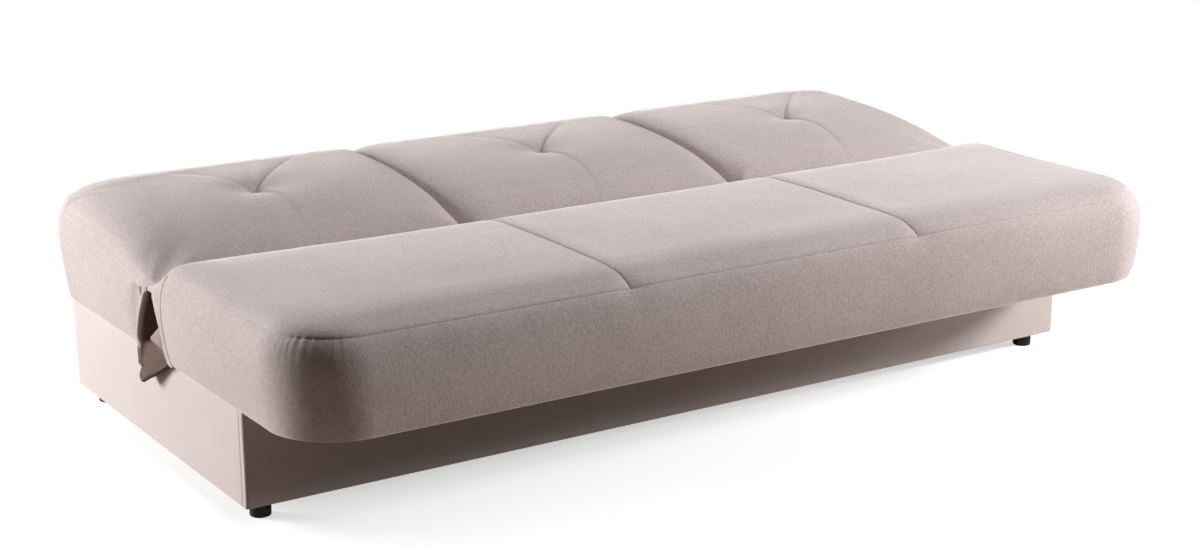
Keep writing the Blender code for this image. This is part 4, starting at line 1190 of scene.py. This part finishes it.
def gusset_grid(sign, seat, back):
    """The points of one gusset, from the junction to its cuff, and how much painted shade they take inside the pocket.
    """
    strip, painted_shades = strip_rows(sign, seat, back)
    cap = cap_rows(sign, strip[0], seat, back)
    pouch = pouch_rows(sign, strip[-1])
    rows = np.array(cap + strip + pouch)
    flat = rows.reshape(-1, 3)
    inside = smoothstep(0.0, 0.012, 0.962 - np.abs(flat[:, 0]))
    crumple = 0.0011 * soft_noise(flat, 0.030, 41) + 0.0007 * soft_noise(flat, 0.012, 42)
    flat[:, 0] += sign * np.abs(crumple) * inside * (flat[:, 2] > 0.226)
    flat[:, 1] += crumple * inside
    # The cap takes no painted shade, and the pouch is painted in shade from its seam with the seat
    painted_shades = np.array([0 * painted_shades[0]] * len(cap) + painted_shades + [painted_shades[-1]] * len(pouch))
    below = smoothstep(0, 2, np.arange(len(rows)) - len(cap) - len(strip) + 1)
    painted_shades = np.maximum(painted_shades, below[:, None] * smoothstep(MARKS[1], MARKS[2], ACROSS)[None, :])
    return rows, painted_shades


def make_gusset(side, seat, back):
    """The two halves of one gusset, which overlap in the pocket's back wall."""
    sign = -1 if side == "left" else 1
    grid, painted_shades = gusset_grid(sign, seat, back)
    for block, columns in HALVES.items():
        part, painted_shade = grid[:, columns].copy(), painted_shades[:, columns]
        if block == "back":
            part[:, : MARKS[9] - MARKS[7], 0] -= sign * OVERLAP_GAP
        name = f"gusset_{side}_{block}_half"
        # Each half keeps its points' painted pocket shade
        obj = cloth_body(name, part[::sign], GUSSET_THICKNESS, painted_shade=painted_shade[::sign])
        paint(obj, GUSSET_CLOTH_AND_POCKET_SHADE)
        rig.blend(obj, block, "carriage", *BLENDS[block])
        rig.replaces(obj, f"gusset_{side}")
        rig.slot(obj, "velour")
        area = sum(face.area for face in obj.data.polygons) / 2
        flat = (area / GUSSET_CUT, GUSSET_CUT)
        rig.sheet(obj, flat=flat, held="gathered", rests_on=[f"{block}_upholstery"])


# Materials


class Nodes:
    """Short calls that lay out the nodes of a new material or world."""

    def __init__(self, owner):
        self.owner = owner
        owner.use_nodes = True
        self.tree = owner.node_tree
        self.shader = self.tree.nodes.get("Principled BSDF")

    def add(self, kind, **values):
        node = self.tree.nodes.new(kind)
        for key, value in values.items():
            if hasattr(node, key):
                setattr(node, key, value)
            else:
                node.inputs[key.replace("_", " ")].default_value = value
        return node

    def link(self, source, target):
        self.tree.links.new(source, target)

    def place(self, scale=(1.0, 1.0, 1.0), turn=(0.0, 0.0, 0.0)):
        coordinates = self.add("ShaderNodeTexCoord")
        mapping = self.add("ShaderNodeMapping")
        mapping.inputs["Scale"].default_value = scale
        mapping.inputs["Rotation"].default_value = turn
        self.link(coordinates.outputs["Object"], mapping.inputs["Vector"])
        return mapping.outputs["Vector"]

    def noise(self, scale, detail=3.0, roughness=0.55, stretch=(1.0, 1.0, 1.0), distortion=0.0):
        node = self.add("ShaderNodeTexNoise", Scale=scale, Detail=detail, Roughness=roughness)
        node.inputs["Distortion"].default_value = distortion
        self.link(self.place(stretch), node.inputs["Vector"])
        return node.outputs["Fac"]

    def ramp(self, value, stops):
        node = self.add("ShaderNodeValToRGB")
        for element, (position, color) in zip(node.color_ramp.elements, (stops[0], stops[-1])):
            element.position, element.color = position, (*color, 1)
        for position, color in stops[1:-1]:
            node.color_ramp.elements.new(position).color = (*color, 1)
        self.link(value, node.inputs["Fac"])
        return node.outputs["Color"]

    def span(self, value, low, high, to_low, to_high):
        node = self.add("ShaderNodeMapRange")
        for name, number in (("From Min", low), ("From Max", high), ("To Min", to_low), ("To Max", to_high)):
            node.inputs[name].default_value = number
        self.link(value, node.inputs["Value"])
        return node.outputs["Result"]

    def mix(self, kind, amount, first, second):
        node = self.add("ShaderNodeMix", data_type="RGBA", blend_type=kind)
        if isinstance(amount, float):
            node.inputs["Factor"].default_value = amount
        else:
            self.link(amount, node.inputs["Factor"])
        colors = [socket for socket in node.inputs if socket.type == "RGBA"]
        for socket, given in zip(colors, (first, second)):
            if isinstance(given, tuple):
                socket.default_value = (*given, 1.0)
            else:
                self.link(given, socket)
        return next(socket for socket in node.outputs if socket.type == "RGBA")

    def math(self, operation, first, second):
        node = self.add("ShaderNodeMath", operation=operation)
        for socket, given in zip(node.inputs, (first, second)):
            if isinstance(given, (int, float)):
                socket.default_value = given
            else:
                self.link(given, socket)
        return node.outputs["Value"]

    def bump(self, height, strength, distance, below=None):
        node = self.add("ShaderNodeBump", Strength=strength, Distance=distance)
        self.link(height, node.inputs["Height"])
        if below is not None:
            self.link(below, node.inputs["Normal"])
        return node.outputs["Normal"]

    def set(self, **values):
        for key, value in values.items():
            socket = self.shader.inputs[key.replace("_", " ")]
            if isinstance(value, (int, float, tuple)):
                socket.default_value = value
            else:
                self.link(value, socket)


SHEEN = 0.5
SHEEN_COLOR = (0.98, 0.95, 0.95, 1.0)
WORN_COLOR = (0.80, 0.74, 0.72)


def velour(name, colors, mottle=1.0, inside=None, worn_edge=None):
    """Short pile: brushed mottling, fine fibres and a pale sheen.

    Inside gives the colours of the painted shade within a pocket, which also takes away the sheen, and worn_edge the
    height of a paler lower edge.
    """
    made = Nodes(bpy.data.materials.new(name))
    sheen = SHEEN
    brushed = made.noise(190.0, 4.0, 0.62, (1.0, 0.80, 0.85), 0.3)
    cloudy = made.noise(5.0, 3.0, 0.5)
    fibre = made.noise(900.0, 2.0, 0.7)
    tone = made.math("MULTIPLY", brushed, 0.75 * mottle)
    tone = made.math("ADD", tone, made.math("MULTIPLY", cloudy, 0.25))
    tone = made.math("ADD", tone, made.math("MULTIPLY", made.math("SUBTRACT", fibre, 0.5), 0.35))
    base = made.ramp(tone, list(zip((0.32, 0.65), colors)))
    # Painted shade: by the 'pocket' attribute, the cloth inside a pocket turns dark brown and loses its sheen
    if inside is not None:
        painted_pocket_shade = made.add("ShaderNodeAttribute", attribute_name="pocket").outputs["Fac"]
        base = made.mix("MIX", painted_pocket_shade, base, made.ramp(tone, list(zip((0.25, 0.72), inside))))
        sheen = made.math("MULTIPLY", made.math("SUBTRACT", 1.0, painted_pocket_shade), sheen)
    if worn_edge is not None:
        height = made.add("ShaderNodeSeparateXYZ")
        made.link(made.add("ShaderNodeTexCoord").outputs["Object"], height.inputs["Vector"])
        worn = made.span(height.outputs["Z"], worn_edge, worn_edge + 0.003, 0.55, 0.0)
        base = made.mix("MIX", worn, base, WORN_COLOR)
    grain = made.bump(fibre, 0.35, 0.0006)
    lay = made.bump(brushed, 0.60 * mottle, 0.0013, grain)
    made.set(Base_Color=base, Normal=lay, Roughness=made.span(brushed, 0.3, 0.7, 0.82, 0.98))
    made.set(Specular_IOR_Level=0.25, Sheen_Weight=sheen, Sheen_Roughness=0.42, Sheen_Tint=SHEEN_COLOR)
    return made.owner


def lining(name):
    """Thin black non-woven cloth with a pressed dot pattern."""
    made = Nodes(bpy.data.materials.new(name))
    speck = made.noise(420.0, 2.0, 0.6)
    dots = made.add("ShaderNodeTexVoronoi", Scale=330.0)
    made.link(made.place(), dots.inputs["Vector"])
    made.set(Base_Color=made.ramp(speck, [(0.3, (0.018, 0.017, 0.017)), (0.7, (0.045, 0.043, 0.043))]))
    made.set(Normal=made.bump(dots.outputs["Distance"], 0.5, 0.0006), Roughness=0.92)
    return made.owner


def wood(name, stretch):
    """Sawn pine with grain along its length."""
    made = Nodes(bpy.data.materials.new(name))
    rings = made.noise(38.0, 5.0, 0.6, stretch, 1.2)
    pores = made.noise(420.0, 2.0, 0.6, tuple(s * 0.6 for s in stretch))
    tone = made.math("ADD", made.math("MULTIPLY", rings, 0.8), made.math("MULTIPLY", pores, 0.2))
    browns = [(0.30, (0.42, 0.25, 0.11)), (0.52, (0.66, 0.46, 0.26)), (0.75, (0.76, 0.58, 0.36))]
    made.set(Base_Color=made.ramp(tone, browns))
    made.set(Normal=made.bump(pores, 0.25, 0.0005), Roughness=made.span(rings, 0.3, 0.7, 0.55, 0.75))
    return made.owner


def particle_board(name):
    """Raw particle board: pressed chips of several browns."""
    made = Nodes(bpy.data.materials.new(name))
    chips = made.add("ShaderNodeTexVoronoi", Scale=260.0, Randomness=1.0)
    made.link(made.place((1.0, 1.0, 1.6)), chips.inputs["Vector"])
    fine = made.noise(600.0, 3.0, 0.7)
    color = made.ramp(fine, [(0.3, (0.36, 0.25, 0.14)), (0.7, (0.62, 0.48, 0.31))])
    made.set(Base_Color=made.mix("MULTIPLY", 0.35, color, chips.outputs["Color"]))
    made.set(Normal=made.bump(chips.outputs["Distance"], 0.3, 0.0006), Roughness=0.8)
    return made.owner


def steel(name, tint=(0.52, 0.52, 0.53)):
    """Zinc-plated steel with rolling marks and faint stains."""
    made = Nodes(bpy.data.materials.new(name))
    marks = made.noise(240.0, 3.0, 0.6, (1.0, 0.08, 1.0))
    stain = made.noise(22.0, 4.0, 0.6)
    dull = tuple(c * 0.72 for c in tint)
    made.set(Base_Color=made.ramp(stain, [(0.35, dull), (0.65, tint)]), Metallic=1.0)
    made.set(Roughness=made.span(stain, 0.3, 0.7, 0.28, 0.46), Normal=made.bump(marks, 0.12, 0.0003))
    return made.owner


def plastic(name, dark, light, rough):
    """Moulded plastic with a fine spark-eroded grain."""
    made = Nodes(bpy.data.materials.new(name))
    grain = made.noise(1500.0, 2.0, 0.6)
    scuff = made.noise(45.0, 5.0, 0.65)
    made.set(Base_Color=made.ramp(scuff, [(0.35, dark), (0.75, light)]))
    made.set(Roughness=made.span(scuff, 0.3, 0.7, rough - 0.08, rough + 0.1))
    made.set(Normal=made.bump(grain, 0.3, 0.0003))
    return made.owner


def twine(name):
    """Twisted pale cord."""
    made = Nodes(bpy.data.materials.new(name))
    twist = made.add("ShaderNodeTexWave", Scale=180.0, Distortion=1.5)
    made.link(made.place((1.0, 1.0, 1.0), (0.6, 0.0, 0.0)), twist.inputs["Vector"])
    yarn = [(0.2, (0.42, 0.36, 0.28)), (0.8, (0.78, 0.72, 0.62))]
    made.set(Base_Color=made.ramp(twist.outputs["Fac"], yarn))
    made.set(Normal=made.bump(twist.outputs["Fac"], 0.5, 0.0008), Roughness=0.9)
    return made.owner


VELOUR_COLORS = ((0.41, 0.338, 0.322), (0.57, 0.486, 0.470))
BASE_COLORS = ((0.56, 0.48, 0.46), (0.70, 0.615, 0.60))
# Dark browns painted as the shade inside the gussets' pockets
POCKET_SHADE_COLORS = ((0.085, 0.052, 0.040), (0.140, 0.094, 0.076))
VELOUR = velour("velour", VELOUR_COLORS, worn_edge=BOTTOM + 0.0005)
BASE_CLOTH = velour("base_cloth", BASE_COLORS, mottle=0.5)
# The gusset's velour, with painted shade inside its pocket
GUSSET_CLOTH_AND_POCKET_SHADE = velour("gusset_cloth", VELOUR_COLORS, inside=POCKET_SHADE_COLORS)
LINING = lining("lining")
LONG_RAILS = ("seat_rail_front", "seat_rail_rear", "back_rail_front", "back_rail_rear")


def dress_frame():
    """Give every CAD node that stays a material of its own kind, by how its name starts."""
    kinds = (
        (("seat_cover", "back_cover", "seat_foam", "back_foam", "base_cover", "gusset"), None),
        (("seat_dust_cloth", "back_dust_cloth"), LINING),
        (LONG_RAILS, wood("pine_along", (0.06, 1.0, 1.0))),
        (("seat_rail_", "back_rail_"), wood("pine_across", (1.0, 0.06, 1.0))),
        (("corner_block",), wood("pine_upright", (1.0, 1.0, 0.06))),
        (("base_board", "base_floor"), particle_board("particle_board")),
        (("seat_spring_", "back_spring_"), steel("spring_steel", (0.40, 0.39, 0.38))),
        (("foot",), plastic("black_plastic", (0.008, 0.008, 0.008), (0.02, 0.02, 0.02), 0.38)),
        (("glide_shoe",), plastic("white_nylon", (0.70, 0.69, 0.65), (0.80, 0.79, 0.75), 0.45)),
        (("tuft_tie",), twine("twine")),
        (("",), steel("zinc_steel")),
    )
    for name, node in frame["nodes"].items():
        chosen = next(material for starts, material in kinds if name.startswith(starts))
        if chosen is None:
            continue
        obj = node if hasattr(node, "data") else bpy.data.objects[name]
        for slot in obj.material_slots:
            slot.material = chosen
        if not obj.material_slots:
            obj.data.materials.append(chosen)


def paint(obj, material):
    """Give a piece its material."""
    obj.data.materials.clear()
    obj.data.materials.append(material)
    return obj


# Stage

FLOOR_HALF = 30
FLOOR_LIFT = 0.60
FLOOR_COLOR = (0.86, 0.85, 0.84)
FLOOR_BOUNCE = (0.43, 0.34, 0.28)
WHITE_FLOOR = (0.03, 0.31)
AMBIENT = 0.01
AMBIENT_COLOR = (1.0, 0.84, 0.72)


def make_floor():
    """A pale floor that keeps the shadow, and shows the camera plain white away from it."""
    corners = [(x * FLOOR_HALF, y * FLOOR_HALF, 0) for x, y in ((-1, -1), (1, -1), (1, 1), (-1, 1))]
    mesh = bpy.data.meshes.new("floor")
    mesh.from_pydata(corners, [], [(0, 1, 2, 3)])
    floor = in_scene(bpy.data.objects.new("floor", mesh))
    made = Nodes(bpy.data.materials.new("floor"))
    camera_ray = made.add("ShaderNodeLightPath").outputs["Is Camera Ray"]
    seen = made.mix("MIX", camera_ray, FLOOR_BOUNCE, FLOOR_COLOR)
    made.set(Base_Color=seen, Roughness=0.9, Specular_IOR_Level=0.1)
    glow = made.add("ShaderNodeEmission")
    made.link(made.math("MULTIPLY", camera_ray, FLOOR_LIFT), glow.inputs["Strength"])
    lit = made.add("ShaderNodeAddShader")
    made.link(made.shader.outputs["BSDF"], lit.inputs[0])
    made.link(glow.outputs["Emission"], lit.inputs[1])
    # Distance outside the box, which counts half on the right, where the shadow is long
    place = made.add("ShaderNodeSeparateXYZ")
    made.link(made.add("ShaderNodeTexCoord").outputs["Object"], place.inputs["Vector"])
    left = made.math("SUBTRACT", BOX_LOW.x, place.outputs["X"])
    right = made.math("MULTIPLY", made.math("SUBTRACT", place.outputs["X"], BOX_HIGH.x), 0.5)
    before = made.math("SUBTRACT", BOX_LOW.y, place.outputs["Y"])
    behind = made.math("SUBTRACT", place.outputs["Y"], BOX_HIGH.y)
    off_x = made.math("MAXIMUM", made.math("MAXIMUM", left, right), 0.0)
    off_y = made.math("MAXIMUM", made.math("MAXIMUM", before, behind), 0.0)
    squares = made.math("ADD", made.math("POWER", off_x, 2.0), made.math("POWER", off_y, 2.0))
    clear = made.span(made.math("SQRT", squares, 0.0), *WHITE_FLOOR, 0.0, 1.0)
    white = made.add("ShaderNodeEmission", Strength=1.0)
    whole = made.add("ShaderNodeMixShader")
    made.link(made.math("MULTIPLY", clear, camera_ray), whole.inputs["Fac"])
    made.link(lit.outputs["Shader"], whole.inputs[1])
    made.link(white.outputs["Emission"], whole.inputs[2])
    made.link(whole.outputs["Shader"], made.tree.nodes["Material Output"].inputs["Surface"])
    paint(floor, made.owner)
    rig.stage(floor)


def make_background():
    """White to the camera and in reflections, and a weak warm fill for all other light."""
    made = Nodes(bpy.data.worlds.new("studio"))
    bpy.context.scene.world = made.owner
    made.tree.nodes.clear()
    path = made.add("ShaderNodeLightPath")
    seen = made.math("MAXIMUM", path.outputs["Is Camera Ray"], path.outputs["Is Glossy Ray"])
    seen = made.math("MAXIMUM", seen, path.outputs["Is Transmission Ray"])
    fill = made.add("ShaderNodeBackground", Color=(*AMBIENT_COLOR, 1.0), Strength=AMBIENT)
    white = made.add("ShaderNodeBackground", Color=(1.0, 1.0, 1.0, 1.0), Strength=1.0)
    whole = made.add("ShaderNodeMixShader")
    made.link(seen, whole.inputs["Fac"])
    made.link(fill.outputs["Background"], whole.inputs[1])
    made.link(white.outputs["Background"], whole.inputs[2])
    made.link(whole.outputs["Shader"], made.add("ShaderNodeOutputWorld").inputs["Surface"])


def soft_light(name, place, target, size, level, color):
    """An area lamp; the level is what it adds to a white surface that faces it at the target."""
    data = bpy.data.lights.new(name, "AREA")
    data.shape = "RECTANGLE"
    data.size, data.size_y = size
    data.color = color
    lamp = in_scene(bpy.data.objects.new(name, data))
    aim = Vector(target) - Vector(place)
    data.energy = level * (math.pi * aim.length) ** 2
    lamp.location = place
    lamp.rotation_euler = aim.to_track_quat("-Z", "Y").to_euler()


def from_side(azimuth, elevation, distance):
    """A place round the sofa. Azimuth turns from -Y towards -X, in degrees."""
    a, e = math.radians(azimuth), math.radians(elevation)
    away = Vector((-math.sin(a) * math.cos(e), -math.cos(a) * math.cos(e), math.sin(e)))
    return away * distance


AT_MIDDLE = (0.0, 0.0, 0.3)
AT_RIGHT = (0.8, -0.3, 0.3)
DAYLIGHT = (0.965, 0.985, 1.0)
WARM = (1.0, 0.975, 0.965)


def make_lights():
    """A low key from behind on the left, two near lamps on the right and a weak one overhead."""
    soft_light("key", from_side(127, 11, 4.6), AT_MIDDLE, (1.6, 1.4), 1.30, DAYLIGHT)
    soft_light("front_right", (2.4, -1.9, 1.3), AT_RIGHT, (0.55, 0.45), 1.24, DAYLIGHT)
    soft_light("right", (3.2, -1.25, 0.75), AT_RIGHT, (0.55, 0.45), 0.52, DAYLIGHT)
    soft_light("overhead", (0.3, 0.8, 4.2), AT_MIDDLE, (2.6, 2.2), 0.53, WARM)


def make_camera():
    """The photograph's camera."""
    data = bpy.data.cameras.new("camera")
    data.sensor_width = SENSOR
    data.lens = FOCAL_PIXELS * SENSOR / IMAGE_WIDTH
    data.clip_end = 100
    camera = in_scene(bpy.data.objects.new("camera", data))
    turns = ((-CAMERA_YAW, "Z"), (math.pi / 2 - CAMERA_DIP, "X"), (CAMERA_ROLL, "Z"))
    camera.matrix_world = Matrix.Translation(CAMERA_PLACE)
    for angle, axis in turns:
        camera.matrix_world = camera.matrix_world @ Matrix.Rotation(angle, 4, axis)
    bpy.context.scene.camera = camera


make_camera()
make_floor()
make_background()
make_lights()
bpy.context.scene.view_settings.view_transform = "Standard"
dress_frame()
padded = {}
for part_name in ("seat", "back"):
    padded[part_name] = paint(make_block(part_name), VELOUR)
    paint(make_dust_cloth(part_name), LINING)
paint(make_base_cover(), BASE_CLOTH)
for end in ("left", "right"):
    make_gusset(end, padded["seat"], padded["back"])

with open(SIZE_FILE, "w") as file:
    json.dump({"cad": CAD_BOX, "visual": [list(corner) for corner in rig.bounds()]}, file)
